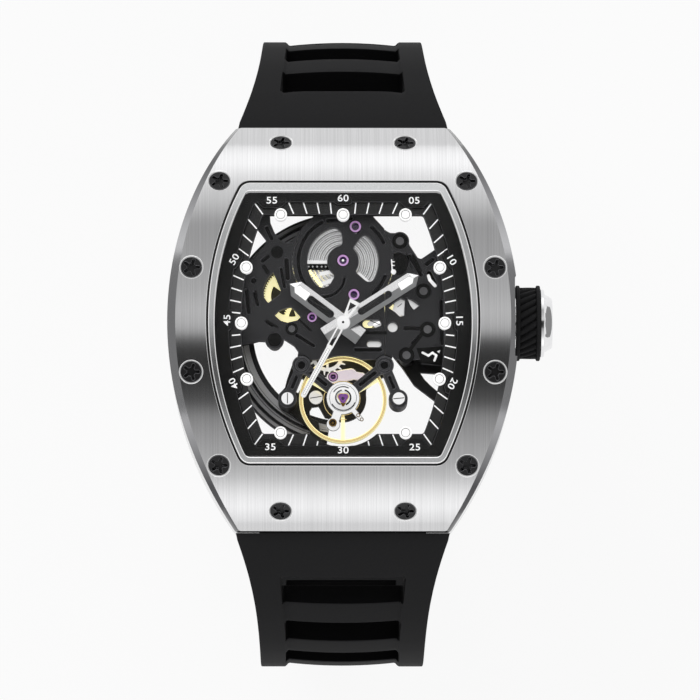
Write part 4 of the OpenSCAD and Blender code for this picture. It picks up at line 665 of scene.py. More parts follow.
def cut(piece, shape):
    """Cut a shape out of a piece. The cutter never stays in the scene."""
    cutter = new_object("cutter", shape.mesh("cutter"))
    change = piece.modifiers.new("cut", "BOOLEAN")
    change.object, change.operation, change.solver = cutter, "DIFFERENCE", "EXACT"
    mesh = final_mesh(piece)
    piece.modifiers.clear()
    piece.data = mesh
    bpy.data.objects.remove(cutter)


print("ready to make pieces")

# %% [markdown]
# ## Bezel
# The bezel is a plate milled to the front curve, with an opening for the crystal. Loops run from
# the opening to the rim, so the brushed top is smooth in both directions. The rim has a buffed
# chamfer that is wide at the sides and thin at the ends, as the photograph shows.

# %% Bezel
ACROSS = 14
CHAMFER = dict(hw=20.5, hl=25.05, r=44.4, rc=0.5)
CHAMFER_DROP, OPENING_EDGE = 0.85, 0.06

inner, edge, rim = outline(OPENING), outline(CHAMFER), outline(CASE)
loops = [under_front(inner, BEZEL_T), under_front(inner, OPENING_EDGE),
         under_front(outline(grow(OPENING, OPENING_EDGE)), 0)]
for step in range(1, ACROSS + 1):
    t = step / ACROSS
    loops.append(under_front([(a[0] * (1 - t) + b[0] * t, a[1] * (1 - t) + b[1] * t)
                              for a, b in zip(inner, edge)], 0))
loops += [under_front(rim, CHAMFER_DROP), under_front(rim, BEZEL_T)]
shape = Shape()
shape.stack(loops, [1, 1] + [0] * ACROSS + [2, 0, 0])
bezel = place_piece("bezel_plate", shape, "case",
                    [titanium_brushed, steel_polished, chamfer_painted_reflection], replaces=["bezel"])
print("bezel plate with", len(bezel.data.polygons), "faces")

# %% [markdown]
# ## Holes in the bezel
# Twelve screws sit on the curve, so each countersink is drilled square to the metal where it
# stands. The cutters are lathed rods that a boolean takes away, with one block for the notch of
# the crown. A thin polished ring lines each hole.

# %% Screw holes and their rims
SCREW_R, SCREW_RIM, SCREW_INSET = 1.33, 1.47, 2.45


def side_x(y):
    """Half width of the case at y."""
    return CASE["hw"] - CASE["r"] + math.sqrt(CASE["r"] ** 2 - y * y)


screw_spots = [(sx * x, sy * y) for x, y in
               [(7.65, 22.9)] + [(side_x(y) - SCREW_INSET, y) for y in (17.6, 6.45)]
               for sx in (-1, 1) for sy in (-1, 1)]


def on_front(x, y):
    """A frame on the front surface, with its z axis square to the metal."""
    slope = math.copysign(math.asin(front_sine(y)), y)
    return Matrix.Translation((x, y, front_z(y))) @ Matrix.Rotation(-slope, 4, "X")


NOTCH_DEPTH, NOTCH_Y0, NOTCH_Y1 = 0.5, -4.4, 5.6
holes = Shape()
for x, y in screw_spots:
    holes.lathe([(0, -4), (SCREW_RIM, -4), (SCREW_RIM, 2), (0, 2)], 64, matrix=on_front(x, y))
notch_x = CASE["hw"] - NOTCH_DEPTH
holes.prism(rectangle(notch_x, notch_x + 2, NOTCH_Y0, NOTCH_Y1), 0, 20)
cut(bezel, holes)
mark_edges(bezel.data, 28)

rims = Shape()
for x, y in screw_spots:
    rims.lathe([(SCREW_RIM + 0.01, -1.2), (SCREW_RIM + 0.01, 0.0), (SCREW_RIM - 0.02, 0.015),
                (SCREW_R, -0.16), (SCREW_R, -1.2), (SCREW_RIM + 0.01, -1.2)], 64,
               matrix=on_front(x, y))
place_piece("screw_rims", rims, "case", [steel_painted_glow])
print("bezel with", len(bezel.data.polygons), "faces and", len(screw_spots), "rims")

# %% [markdown]
# ## Crystal frame and gasket
# A thin black gasket parts the bezel from the steel frame that holds the crystal. The frame is
# brushed on its flat and buffed on both of its edges, which read as two fine bright lines with a
# painted glow. It is a little wider at 12 than at 6 o'clock, so its inner outline is shifted.

# %% Crystal frame and gasket
def shifted(shape, by):
    """Outline of a shape, moved along Y."""
    return [(x, y + by) for x, y in outline(shape)]


def front_ring(name, outer, inside, shift, top, edge, bottom, materials, finishes, replaces):
    """A ring between two outlines that follows the front, with its upper edges chamfered."""
    rim, bore = outline(grow(outer, -edge)), shifted(grow(inside, edge), shift)
    middle = [((a[0] + b[0]) / 2, (a[1] + b[1]) / 2) for a, b in zip(rim, bore)]
    loops = [under_front(outline(outer), bottom), under_front(outline(outer), top + edge),
             under_front(rim, top), under_front(middle, top), under_front(bore, top),
             under_front(shifted(inside, shift), top + edge),
             under_front(shifted(inside, shift), bottom)]
    ring = Shape()
    ring.stack(loops, finishes)
    place_piece(name, ring, "case", materials, replaces=replaces)


GASKET_W, RING_DEPTH = 0.28, 2.38
FRAME_INSIDE = dict(hw=OPENING["hw"] - 1.03, hl=OPENING["hl"] - 1.19, r=OPENING["r"] - 1.03, rc=0.8)
FRAME_SHIFT = -0.16
front_ring("gasket_ring", grow(OPENING, -0.01), grow(OPENING, 0.01 - GASKET_W), 0, 0.2, 0.05,
           RING_DEPTH, [gasket_rubber], 0, ["crystal_gasket"])
front_ring("crystal_ring", grow(OPENING, -GASKET_W), FRAME_INSIDE, FRAME_SHIFT, -0.02, 0.1,
           RING_DEPTH, [steel_satin, steel_painted_glow], [1, 1, 0, 0, 1, 1, 0],
           ["crystal_frame"])
for pane_node in ("front_crystal", "back_crystal"):
    NODES[pane_node].data.materials[0] = sapphire
print("frame inside", FRAME_INSIDE["hw"], "by", FRAME_INSIDE["hl"], "mm")

# %% [markdown]
# ## Dial flange
# The flange is a stepped ring: a black upper step, a greyer minute track 0.45 mm lower, and a
# chamfered edge at the window. At each number the upper step pushes a tab into the track. The
# bay for the balance is cut at the bottom.

# %% Dial flange
FLANGE_Z0, FLANGE_Z1, TRACK_Z = 8.9, 10.9, 10.45
TRACK_W, BAY_R, BALANCE_Y, UNDER_CRYSTAL = 1.5, 6.15, -9.0, 1.5
under_frame = shifted(grow(FRAME_INSIDE, -0.03), FRAME_SHIFT)


def step_z(y):
    """Height of the upper step: flat, but under the crystal at both ends."""
    return min(FLANGE_Z1, front_z(y) - UNDER_CRYSTAL)


def flange_top(points, drop=0.0):
    """Lift an outline to the upper step."""
    return [(x, y, step_z(y) - drop) for x, y in points]


track_edge = dict(grow(WINDOW, TRACK_W), rc=0.6)
shape = Shape()
# The wall of the step and a thin strip of track at its foot are painted black as the step's shadow
shape.stack([flat(under_frame, FLANGE_Z0), flange_top(under_frame),
             flange_top(outline(grow(track_edge, 0.05))), flange_top(outline(track_edge), 0.05),
             flat(outline(track_edge), TRACK_Z), flat(outline(grow(track_edge, -0.13)), TRACK_Z),
             flat(outline(grow(WINDOW, 0.07)), TRACK_Z),
             flat(outline(WINDOW), TRACK_Z - 0.07), flat(outline(WINDOW), FLANGE_Z0)],
            [0, 0, 2, 3, 3, 1, 2, 0, 0])
flange = place_piece("dial_flange_ring", shape, "case",
                     [flange_paint, track_paint, black_edge_painted_highlight, painted_shadow_black], replaces=["dial_flange"])
bay = Shape()
bay.lathe([(0, 5), (BAY_R, 5), (BAY_R, 14), (0, 14)], 96, matrix=turned(0, BALANCE_Y, 0))
cut(flange, bay)
print("flange with", len(flange.data.polygons), "faces")

# %% [markdown]
# ## Tabs under the numbers
# Each tab is a short block with slanted sides. It stands where a ray from the hub through the
# number meets the edge of the track. A black skirt round it draws the shadow line of the step.

# %% Number tabs
# Text, middle of the text in mm, how far its tab reaches into the track, and half the tab's width
NUMBERS = [("60", 0.0, 15.54, 0.3, 0.75), ("05", 8.75, 15.26, 0.72, 1.0),
           ("10", 13.32, 7.94, 0.55, 0.8), ("15", 14.28, 0.42, 0.4, 0.9),
           ("20", 13.42, -7.42, 0.55, 0.8), ("25", 8.79, -15.22, 0.72, 1.0),
           ("30", 0.0, -15.6, 0, 0), ("35", -8.9, -15.2, 0.72, 1.0),
           ("40", -13.42, -7.42, 0.55, 0.8), ("45", -14.24, 0.42, 0.4, 0.9),
           ("50", -13.38, 7.94, 0.55, 0.8), ("55", -8.75, 15.26, 0.72, 1.0)]
END_Y, SKIRT = 14, 0.12


def outline_hit(points, direction):
    """Distance from the hub to an outline, along a direction."""
    for a, b in zip(points, points[1:] + points[:1]):
        side, ahead = Vector(b) - Vector(a), Vector(a)
        cross = direction.x * side.y - direction.y * side.x
        if abs(cross) > 1e-9:
            t = (ahead.x * side.y - ahead.y * side.x) / cross
            u = (ahead.x * direction.y - ahead.y * direction.x) / cross
            if t > 0 and 0 <= u <= 1:
                return t
    return 0.0


tabs = Shape()
track_outer = outline(track_edge)
for text, x, y, depth, half in NUMBERS:
    if not depth:
        continue
    if abs(y) > END_Y:
        turn, foot = math.copysign(90, y), Vector((x, math.copysign(track_edge["hl"], y)))
    else:
        way = Vector((x, y)).normalized()
        turn, foot = math.degrees(math.atan2(y, x)), way * outline_hit(track_outer, way)
    spot = turned(foot.x, foot.y, 0, turn)
    reach = half + depth
    tabs.prism([(0.3, reach), (-0.1, reach), (-depth, half), (-depth, -half), (-0.1, -reach),
                (0.3, -reach)], TRACK_Z - 0.05, FLANGE_Z1 - 0.012, 0.05, (0, 1), matrix=spot)
    reach, depth, half = reach + SKIRT, depth + SKIRT, half + 0.05
    tabs.prism([(0.3, reach), (-0.1, reach), (-depth, half), (-depth, -half), (-0.1, -reach),
                (0.3, -reach)], TRACK_Z - 0.05, TRACK_Z + 0.02, 0.01, (2, 2), matrix=spot)
place_piece("number_tabs", tabs, "case", [flange_paint, black_edge_painted_highlight, painted_shadow_black])
print("tabs with", len(tabs.faces), "faces")

# %% [markdown]
# ## Minute track
# White strokes stand at each minute, square to the direction of the hub. They are printed thick
# enough to feel. The length of each comes from a ray through the outlines of the track, and the
# bay of the balance shortens those at the bottom. There is none at a five-minute mark.

# %% Minute strokes
STROKE_W, STROKE_H, STROKE_GAP = 0.15, 0.06, 0.12
SHORT_STROKES = (14, 16, 44, 46)
strokes = Shape()
window_points = outline(WINDOW)
count = 0
for minute in range(60):
    if minute % 5 == 0:
        continue
    turn = math.radians(90 - 6 * minute)
    direction = Vector((math.cos(turn), math.sin(turn)))
    near = outline_hit(window_points, direction) + STROKE_GAP
    far = outline_hit(track_outer, direction) - 0.03
    # The far crossing of the ray with the bay's circle
    along = direction.y * BALANCE_Y
    inside = along ** 2 - BALANCE_Y ** 2 + BAY_R ** 2
    if inside > 0 and along > 0:
        near = max(near, along + math.sqrt(inside) + STROKE_GAP)
    if minute in SHORT_STROKES:
        far -= 0.3
    if far - near > 0.3:
        strokes.prism(rectangle(near, far, -STROKE_W / 2, STROKE_W / 2), TRACK_Z - 0.02,
                      TRACK_Z + STROKE_H, 0.01, matrix=turned(0, 0, 0, math.degrees(turn)))
        count += 1
place_piece("minute_strokes", strokes, "case", [white_print_painted_glow])
print("minute strokes:", count)

# %% [markdown]
# ## Numbers
# The numbers are plain figures, one for each five minutes. At the sides they turn with the dial, at
# both ends they stand upright. Blender's text object gives the outlines, which become a mesh
# 0.03 mm thick. Where a word stands on the photographed dial, the plain number 30 takes its place.

# %% Numbers
FIGURE_H, FIGURE_WIDE, FIGURE_T, FIGURE_BOLD = 0.84, 1.18, 0.03, 0.012
numbers = bmesh.new()
for text, x, y, depth, half in NUMBERS:
    words = bpy.data.curves.new("figures", "FONT")
    words.body, words.align_x, words.align_y = text, "CENTER", "CENTER"
    words.size, words.extrude, words.offset = 1.2 * MM, FIGURE_T / 2 * MM, FIGURE_BOLD * MM
    words.space_character = 1.06
    writer = new_object("figures", words)
    mesh = final_mesh(writer)
    ys = [v.co.y for v in mesh.vertices]
    stretch = FIGURE_H * MM / (max(ys) - min(ys))
    turn = 0 if abs(y) > END_Y else math.degrees(math.atan2(y, x)) - 90
    height = step_z(y) + FIGURE_T / 2
    mesh.transform(turned(x * MM, y * MM, height * MM, turn) @ Matrix.Scale(stretch, 4)
                   @ Matrix.Scale(FIGURE_WIDE, 4, (1, 0, 0))
                   @ Matrix.Translation((0, -(max(ys) + min(ys)) / 2, 0)))
    numbers.from_mesh(mesh)
    bpy.data.objects.remove(writer)
mesh = bpy.data.meshes.new("minute_numbers")
numbers.to_mesh(mesh)
numbers.free()
place_piece("minute_numbers", mesh, "case", [white_print_painted_glow])
print("numbers:", len(NUMBERS))

# %% [markdown]
# ## Hour markers
# Each marker is a small white cup: a rim, a fine groove painted grey as shade, and a filling of
# luminous paint that stands a little domed. It is turned on a lathe, so one profile gives them all.

# %% Hour markers
MARKER_R, MARKER_Z0, MARKER_Z1 = 0.77, 9.97, 11.1
MARKER_ROW = WINDOW["hl"] - 0.07
marker_spots = [(0, MARKER_ROW)] + [
    (side * x, y) for side in (-1, 1) for x, y in
    ((7.66, MARKER_ROW), (11.88, 6.95), (12.48, 0.06), (11.8, -6.85), (7.66, -MARKER_ROW))]
cups, fillings = Shape(), Shape()
for x, y in marker_spots:
    cups.lathe([(0, MARKER_Z0), (MARKER_R, MARKER_Z0), (MARKER_R, MARKER_Z1 - 0.05),
                (MARKER_R - 0.05, MARKER_Z1), (0.57, MARKER_Z1), (0.56, MARKER_Z1 - 0.09),
                (0, MARKER_Z1 - 0.09)], 48, [0, 0, 0, 0, 1, 1], matrix=turned(x, y, 0))
    fillings.lathe([(0.47, MARKER_Z1 - 0.12), (0.47, MARKER_Z1 - 0.01), (0.45, MARKER_Z1),
                    (0.2, MARKER_Z1 + 0.02), (0, MARKER_Z1 + 0.025)], 48, matrix=turned(x, y, 0))
place_piece("marker_cups", cups, "case", [white_lume_painted_glow, painted_shade_grey],
            replaces=["hour_markers"])
place_piece("marker_fillings", fillings, "case", [white_lume_painted_glow])
print("markers:", len(marker_spots))

# %% [markdown]
# ## Hands
# The hour and minute hands are cut like a roof: two long facets meet on a ridge, and two short
# ones close the tip. One facet mirrors the bright side of the tent and the other the darker one.
# The facet on the 12 o'clock side is mirror-polished and the other one straight-grained and painted
# grey as shade, so each hand is half white and half grey. A block is sliced by planes to get the
# facets, then the slot is cut through. A small plate of luminous paint sits near the tip, its
# chamfer painted grey as shade.

# %% Hour and minute hands
def facet_block(name, points, z0, z1, planes):
    """A mesh of a block over a convex outline, with all that lies outside each plane sliced off."""
    block = bmesh.new()
    bottom = [block.verts.new((x, y, z0)) for x, y in points]
    top = [block.verts.new((x, y, z1)) for x, y in points]
    block.faces.new(reversed(bottom))
    block.faces.new(top)
    for i in range(len(points)):
        j = (i + 1) % len(points)
        block.faces.new((bottom[i], bottom[j], top[j], top[i]))
    for point, normal in planes:
        everything = block.verts[:] + block.edges[:] + block.faces[:]
        sliced = bmesh.ops.bisect_plane(block, geom=everything, plane_co=point, plane_no=normal,
                                        clear_outer=True)
        rim = [g for g in sliced["geom_cut"] if isinstance(g, bmesh.types.BMEdge)]
        bmesh.ops.edgeloop_fill(block, edges=rim)
    mesh = bpy.data.meshes.new(name)
    block.to_mesh(mesh)
    block.free()
    mesh.transform(Matrix.Scale(MM, 4))
    return mesh


def slot_points(x0, x1, width, steps=10):
    """Outline of a slot with round ends."""
    r = width / 2
    right = [(x1 + r * math.cos(a), r * math.sin(a)) for a in
             [math.pi * (i / steps - 0.5) for i in range(steps + 1)]]
    return right + [(x0 + x1 - x, -y) for x, y in right]


ROOF, TIP_SLOPE = math.radians(22), math.radians(34)
TAIL, TIP, TIP_DROP = 2.7, 1.0, 0.38
# Ends of the slot as shares of the length, its width as a share of half the hand's
SLOT_FROM, SLOT_TO, SLOT_W = 0.24, 0.6, 0.9
# The luminous plate: its start, its shoulders and its point, from the tip of the hand in mm
PLATE_FROM, PLATE_TO, PLATE_POINT = 2.85, 1.15, 0.7


def roof_hand(name, node, body, length, half, z, thick, turn):
    """One baton hand with its slot and its luminous plate."""
    top, place = z + thick, turned(0, 0, 0, turn)
    planes = [((0, 0, top), (0, s * math.sin(ROOF), math.cos(ROOF))) for s in (-1, 1)]
    aside = math.pi / 2 - math.atan2(TIP, half)
    for s in (-1, 1):
        planes.append(((length, 0, top - TIP_DROP),
                       (math.cos(aside) * math.sin(TIP_SLOPE),
                        s * math.sin(aside) * math.sin(TIP_SLOPE), math.cos(TIP_SLOPE))))
    hand = new_object(name, facet_block(name, [
        (-TAIL, -half), (length - TIP, -half), (length, 0), (length - TIP, half), (-TAIL, half)],
        z, top, planes))
    slot = Shape()
    slot.prism(slot_points(SLOT_FROM * length, SLOT_TO * length, SLOT_W * half), z - 1, top + 1)
    slot.lathe([(0, z - 1), (0.3, z - 1), (0.3, top + 1), (0, top + 1)], 32)
    cut(hand, slot)
    mesh = hand.data
    bpy.data.objects.remove(hand)
    mesh.transform(place)
    blade = place_piece(name, mesh, body, [steel_mirror, steel_grained_painted_shade], crease=8,
                        replaces=[node])
    # Painted shade: facets turned away from 12 o'clock take the grey grained steel
    for face in blade.data.polygons:
        face.material_index = 1 if face.normal.y < -0.05 else 0
    plate = Shape()
    reach = 0.5 * half
    plate.prism([(length - PLATE_FROM, reach), (length - PLATE_FROM, -reach),
                 (length - PLATE_TO, -reach), (length - PLATE_POINT, 0),
                 (length - PLATE_TO, reach)], top - 0.25, top + 0.015, 0.05, (0, 1), matrix=place)
    place_piece(name + "_lume", plate, body, [white_lume_painted_glow, painted_shade_grey])
    print(name, "is", length, "mm long and turned by", turn, "degrees")


roof_hand("hour_hand_blade", "hour_hand", "hour", length=8.2, half=1.08, z=10.4, thick=0.58,
          turn=143)
roof_hand("minute_hand_blade", "minute_hand", "minute", length=11.0, half=0.96, z=11.1, thick=0.55,
          turn=32.6)

# %% [markdown]
# ## Second hand
# The second hand is stamped from thin sheet. An open frame leaves the hub, goes over into a bar
# with a white stripe, and an open triangle balances it on the other side. A filled 2D curve with
# holes, a little thickness and a chamfer, makes such a stamping in one go.

# %% Second hand
def stamping(name, outlines, z0, z1, bevel, matrix):
    """A flat sheet with holes and chamfered edges, from closed outlines in mm."""
    curve = bpy.data.curves.new(name, "CURVE")
    curve.dimensions, curve.fill_mode = "2D", "BOTH"
    for points in outlines:
        spline = curve.splines.new("POLY")
        spline.points.add(len(points) - 1)
        for point, (x, y) in zip(spline.points, points):
            point.co = (x * MM, y * MM, 0, 1)
        spline.use_cyclic_u = True
    curve.extrude = ((z1 - z0) / 2 - bevel) * MM
    curve.bevel_depth, curve.bevel_resolution, curve.offset = bevel * MM, 0, -bevel * MM
    sheet = new_object(name, curve)
    mesh = final_mesh(sheet)
    bpy.data.objects.remove(sheet)
    mesh.transform(Matrix.Translation((0, 0, (z0 + z1) / 2 * MM)))
    mesh.transform(Matrix.Translation(matrix.translation * MM) @ matrix.to_3x3().to_4x4())
    mesh.materials.clear()
    return mesh


SECOND_Z, SECOND_TOP, SECOND_TURN = 11.85, 12.07, -118.4
tip_turns = [math.pi * (i / 8 - 0.5) for i in range(1, 8)]
blade = ([(0.75, -0.42), (3.35, -0.42), (3.65, -0.37), (10.1, -0.34)]
         + [(10.16 + 0.34 * math.cos(a), 0.34 * math.sin(a)) for a in tip_turns]
         + [(10.1, 0.34), (3.65, 0.37), (3.35, 0.42), (0.75, 0.42), (-0.7, 0.36), (-3.05, 0.68),
            (-3.05, -0.68), (-0.7, -0.36)])
frame_hole = rectangle(0.95, 3.2, -0.22, 0.22)
tail_hole = [(-1.25, 0.12), (-2.6, 0.42), (-2.6, -0.42), (-1.25, -0.12)]
turn = turned(0, 0, 0, SECOND_TURN)
mesh = stamping("second_hand_blade", [blade, frame_hole, tail_hole], SECOND_Z, SECOND_TOP, 0.05,
                turn)
place_piece("second_hand_blade", mesh, "second", [steel_painted_glow], crease=20,
            replaces=["second_hand"])
# The white stripe lies on a wider plate of painted grey shade, which outlines it
stripe = Shape()
stripe.prism([(3.75, -0.17), (10.1, -0.14), (10.1, 0.14), (3.75, 0.17)], SECOND_TOP - 0.02,
             SECOND_TOP + 0.01, 0.005, (1, 1), matrix=turn)
stripe.prism([(3.8, -0.09), (10.05, -0.07), (10.05, 0.07), (3.8, 0.09)], SECOND_TOP - 0.02,
             SECOND_TOP + 0.03, 0.01, matrix=turn)
place_piece("second_hand_stripe", stripe, "second", [white_lume_painted_glow, painted_shade_grey])
# Painted shadow: the hole in the hub is plain black
hub = Shape()
hub.lathe([(0, SECOND_Z + 0.02), (0.87, SECOND_Z + 0.02), (0.87, 12.2), (0.79, 12.28), (0.3, 12.3),
           (0.15, 12.3), (0.14, 12.1), (0, 12.1)], 48, [0, 0, 0, 0, 0, 1, 1])
place_piece("second_hand_hub", hub, "second", [steel_painted_glow, painted_shadow_black])
print("second hand turned by", SECOND_TURN, "degrees")

# %% [markdown]
# ## Bridges, wheels and screws
# The CAD shapes of the movement are right as they are. Modifiers finish them without a change to
# their meshes: a weld joins loose corners, planar decimation turns the triangles of a flat face
# back into one face, a bevel breaks the sharp edges and gives them their own finish, and an edge
# split keeps the flats flat and the round walls round.

# %% Finish the CAD nodes
def dress(node, material, edge, bevel, crease):
    """Give a CAD node its finish, and its chamfers a second one."""
    piece = NODES[node]
    mesh = piece.data
    mesh.materials.clear()
    mesh.materials.append(material)
    mesh.materials.append(edge or material)
    mesh.polygons.foreach_set("material_index", [0] * len(mesh.polygons))
    mesh.polygons.foreach_set("use_smooth", [True] * len(mesh.polygons))
    if "custom_normal" in mesh.attributes:
        mesh.attributes.remove(mesh.attributes["custom_normal"])
    weld = piece.modifiers.new("weld", "WELD")
    weld.merge_threshold = 0.0005 * MM
    if bevel:
        planar = piece.modifiers.new("flat faces", "DECIMATE")
        planar.decimate_type, planar.angle_limit = "DISSOLVE", math.radians(0.6)
        chamfer = piece.modifiers.new("chamfer", "BEVEL")
        chamfer.width, chamfer.segments, chamfer.limit_method = bevel * MM, 1, "ANGLE"
        chamfer.angle_limit, chamfer.material = math.radians(40), 1
        chamfer.use_clamp_overlap = False
    split = piece.modifiers.new("crisp edges", "EDGE_SPLIT")
    split.split_angle = math.radians(crease)


# Nodes, their finish, the finish of their chamfers and its width in mm
FINISHES = [
    ("barrel_bridge train_bridge winding_bridge", black_coat, black_edge_painted_highlight, 0.06),
    ("balance_bridge", balance_coat, black_edge_painted_highlight, 0.08),
    ("main_plate", plate_coat, black_edge_painted_highlight, 0.05),
    ("movement_ring", movement_ring_painted_shade, None, 0),
    ("bezel_screws", screw_black, black_edge_painted_highlight, 0.05),
    ("back_screws", screw_black, black_edge_painted_highlight, 0.04),
    ("balance_screws regulator", steel_painted_glow, steel_satin, 0.06),
    ("escape_wheel pallet_fork setting_lever shock_setting", steel_painted_glow, None, 0),
    ("pallet_bridge", cock_steel_painted_violet_glow, steel_painted_glow, 0.06),
    ("rotor_plate", rotor_alloy_painted_reflections, None, 0),
    ("rotor_weight", rotor_alloy_painted_reflections, black_edge_painted_highlight, 0.06),
    ("rotor_bearing strap_pins buckle_pin", steel_polished, None, 0),
    ("rotor_screw", steel_polished, None, 0.04),
    ("crown_stem", steel_polished, None, 0.1),
    ("buckle_tongue", steel_polished, None, 0.12),
    ("crown_wheel click hour_wheel cannon_pinion winding_pinion crown_tube", steel_mirror, None, 0),
    ("barrel_drum", spring_steel_painted_glow, None, 0),
    ("barrel_cover", steel_satin, None, 0),
    ("ratchet_wheel winding_idler rotor_gear centre_wheel third_wheel fourth_wheel minute_wheel",
     gilt, None, 0),
    ("balance_wheel", rim_gold_painted_glow, gilt, 0.1),
    ("hairspring", rim_gold_painted_glow, None, 0),
    ("mid_case", case_titanium, None, 0.12),
    ("case_back", titanium_brushed, steel_polished, 0.12),
    ("buckle_frame", titanium_brushed, steel_polished, 0.25)]
# The big case parts are curved, so their shallow edges have to stay crisp too
SHALLOW, CREASE, CASE_CREASE = ("mid_case", "case_back"), 30, 25
for nodes, material, edge, bevel in FINISHES:
    for node in nodes.split():
        dress(node, material, edge, bevel, CASE_CREASE if node in SHALLOW else CREASE)
print("dressed", sum(len(row[0].split()) for row in FINISHES), "nodes")

# %% [markdown]
# ## Jewels
# A jewel is a ruby ring pressed into the bridge. Light runs through the stone; its rim has a
# painted pink-to-violet glow round an oil cup painted dark as shade, inside a ring of painted
# violet shade, and the end of a pivot shows in its middle as a bright dot. One lathe profile gives
# all of them at their own size.

# %% Jewels
# Middle and radius of each stone, height of its bridge, and the number of its dot's finish
JEWELS = [(1.52, 12.3, 0.84, 8.8, 2), (1.34, 3.87, 0.8, 8.8, 2), (0, 8.1, 0.84, 8.8, 3),
          (-3.8, 1.05, 0.7, 8.8, 0), (-1.2, -6.0, 0.62, 6.22, 0)]
# Profile of a stone: share of its radius, and height over the bridge
STONE = [(0, -0.9), (0.7, -0.9), (0.7, -0.01), (1, -0.01), (1, 0.015), (0.86, 0.03), (0.83, 0.02),
         (0.58, 0.02), (0.54, -0.04), (0.2, -0.08), (0.18, -0.03), (0, -0.02)]
stones = Shape()
for x, y, r, top, dot in JEWELS:
    stones.lathe([(share * r, top + lift) for share, lift in STONE], 40,
                 [4] * 6 + [1, 1, 2, 2, dot], matrix=turned(x, y, 0))
place_piece("jewel_stones", stones, "case",
            [ruby, ruby_rim_painted_glow, ruby_cup_painted_shade, steel_painted_glow, ruby_ring_painted_shade], replaces=["jewels"])
print("jewels:", len(JEWELS))

# %% [markdown]
# ## Bridge screws
# The bridges are held by small blackened screws, each in a countersink painted black as shade. The
# flat disc of the head is faced grey on five of them and plain black on the others, and the biggest
# one has a coated ring round it. Their slots are too fine to show.

# %% Bridge screws
# Middle, radius of the head, radius of the seat, and kind: 0 faced grey, 1 ringed, 2 black
SCREWS = [(7, 10.5, 0.5, 0.98, 0), (9.9, 4.3, 0.5, 0.98, 0), (7.8, -3.65, 0.5, 0.98, 0),
          (-6.3, -0.4, 0.42, 0.78, 0), (10.4, -0.45, 0.5, 0.98, 0), (-8.1, 9.1, 0.72, 1.08, 1),
          (-8.4, -1.75, 0.4, 0.8, 2), (-3.2, 14.9, 0.48, 0.6, 2), (3.2, 14.9, 0.48, 0.6, 2)]
heads = Shape()
for x, y, r, seat, kind in SCREWS:
    head, ring = ((1, 0), (0, 2), (0, 0))[kind]
    heads.lathe([(0, 6.4), (0.46, 6.4), (0.46, 8.6), (seat, 8.79), (seat, 8.83),
                 (seat - 0.06, 8.84), (r + 0.04, 8.835), (r, 8.815), (0, 8.82)], 40,
                [0, 0, 0, ring, ring, ring, 0, head], matrix=turned(x, y, 0))
place_piece("bridge_screw_heads", heads, "case", [painted_shadow_black, screw_grey_and_painted_shade, black_coat],
            replaces=["bridge_screws"])
print("bridge screws:", len(SCREWS))

# %% [markdown]
# ## Plates cut from sheet
# Thin springs, levers and covers of steel are cut from sheet and lie flat, some between the
# bridges and the wheels and some on the bridges. A flat plate over an outline is enough for each.
# The camera looks from below, so a plate at depth has to stand further up to be seen in its place.

# %% Helpers for sheet parts
def seen_at(x, y, z):
    """The place at height z that the camera sees at a spot of the plane of the hub."""
    depth = HUB_Z - z
    return x + depth * math.tan(YAW), y + depth * math.tan(TILT)


def sheet_parts(name, z, thick, parts, bevel=0.05, rise=0.0):
    """Plates over outlines as the camera sees them, each higher than the last one by a rise."""
    sheet, materials, count = Shape(), [], 0
    for material, *outlines in parts:
        if material not in materials:
            materials.append(material)
        finish = materials.index(material)
        for points in outlines:
            sheet.prism([seen_at(x, y, z) for x, y in points], z - thick, z + rise * count, bevel,
                        (finish, finish))
            count += 1
    place_piece(name, sheet, "case", materials)
    print(name, "has", count, "plates")


def disc(x, y, r, steps=24):
    """Outline of a disc."""
    return [(x + r * c, y + r * s) for c, s in circle(steps)]


def bar(x0, y0, x1, y1, width):
    """Outline of a straight bar with round ends."""
    turn, length = math.atan2(y1 - y0, x1 - x0), math.hypot(x1 - x0, y1 - y0)
    c, s = math.cos(turn), math.sin(turn)
    return [(x0 + x * c - y * s, y0 + x * s + y * c) for x, y in slot_points(0, length, width, 8)]


# %% [markdown]
# ## Springs and levers
# The click spring sits over the barrel, with its coils and the row of teeth beside it. The covers
# of the keyless works lie on the crown side, under the bridges.

# %% Springs and levers
# The dark band beside the first bright bar is painted shadow
sheet_parts("click_spring", 7.72, 0.3, [
    (steel_painted_glow, [(-4.6, 7.26), (-1.7, 7.3), (-1.7, 7.66), (-4.6, 7.7)]),
    (painted_shadow_black, [(-4.6, 6.5), (-1.7, 6.5), (-1.7, 7.24), (-4.6, 7.24)]),
    (steel_painted_glow, [(-2.95, 5.75), (-1.0, 6.1), (-1.0, 6.6), (-2.95, 6.2)],
     bar(-2.6, 4.75, -1.1, 5.3, 0.5), bar(1.95, 6.05, 3.0, 5.1, 0.34))])
sheet_parts("click_spring_coils", 7.76, 0.05, [
    (steel_satin, *[disc(x, 6.9, 0.13, 12) for x in (-4.25, -3.75, -3.2, -2.65, -2.15)])],
    bevel=0.02)
sheet_parts("click_teeth", 7.73, 0.1, [
    (gilt, *[bar(-4.35 + 0.24 * k, 6.3 - 0.3 * k, -4.0 + 0.24 * k, 6.45 - 0.3 * k, 0.17)
             for k in range(7)], bar(-4.05, 6.3, -2.7, 4.55, 0.3))], bevel=0.02)
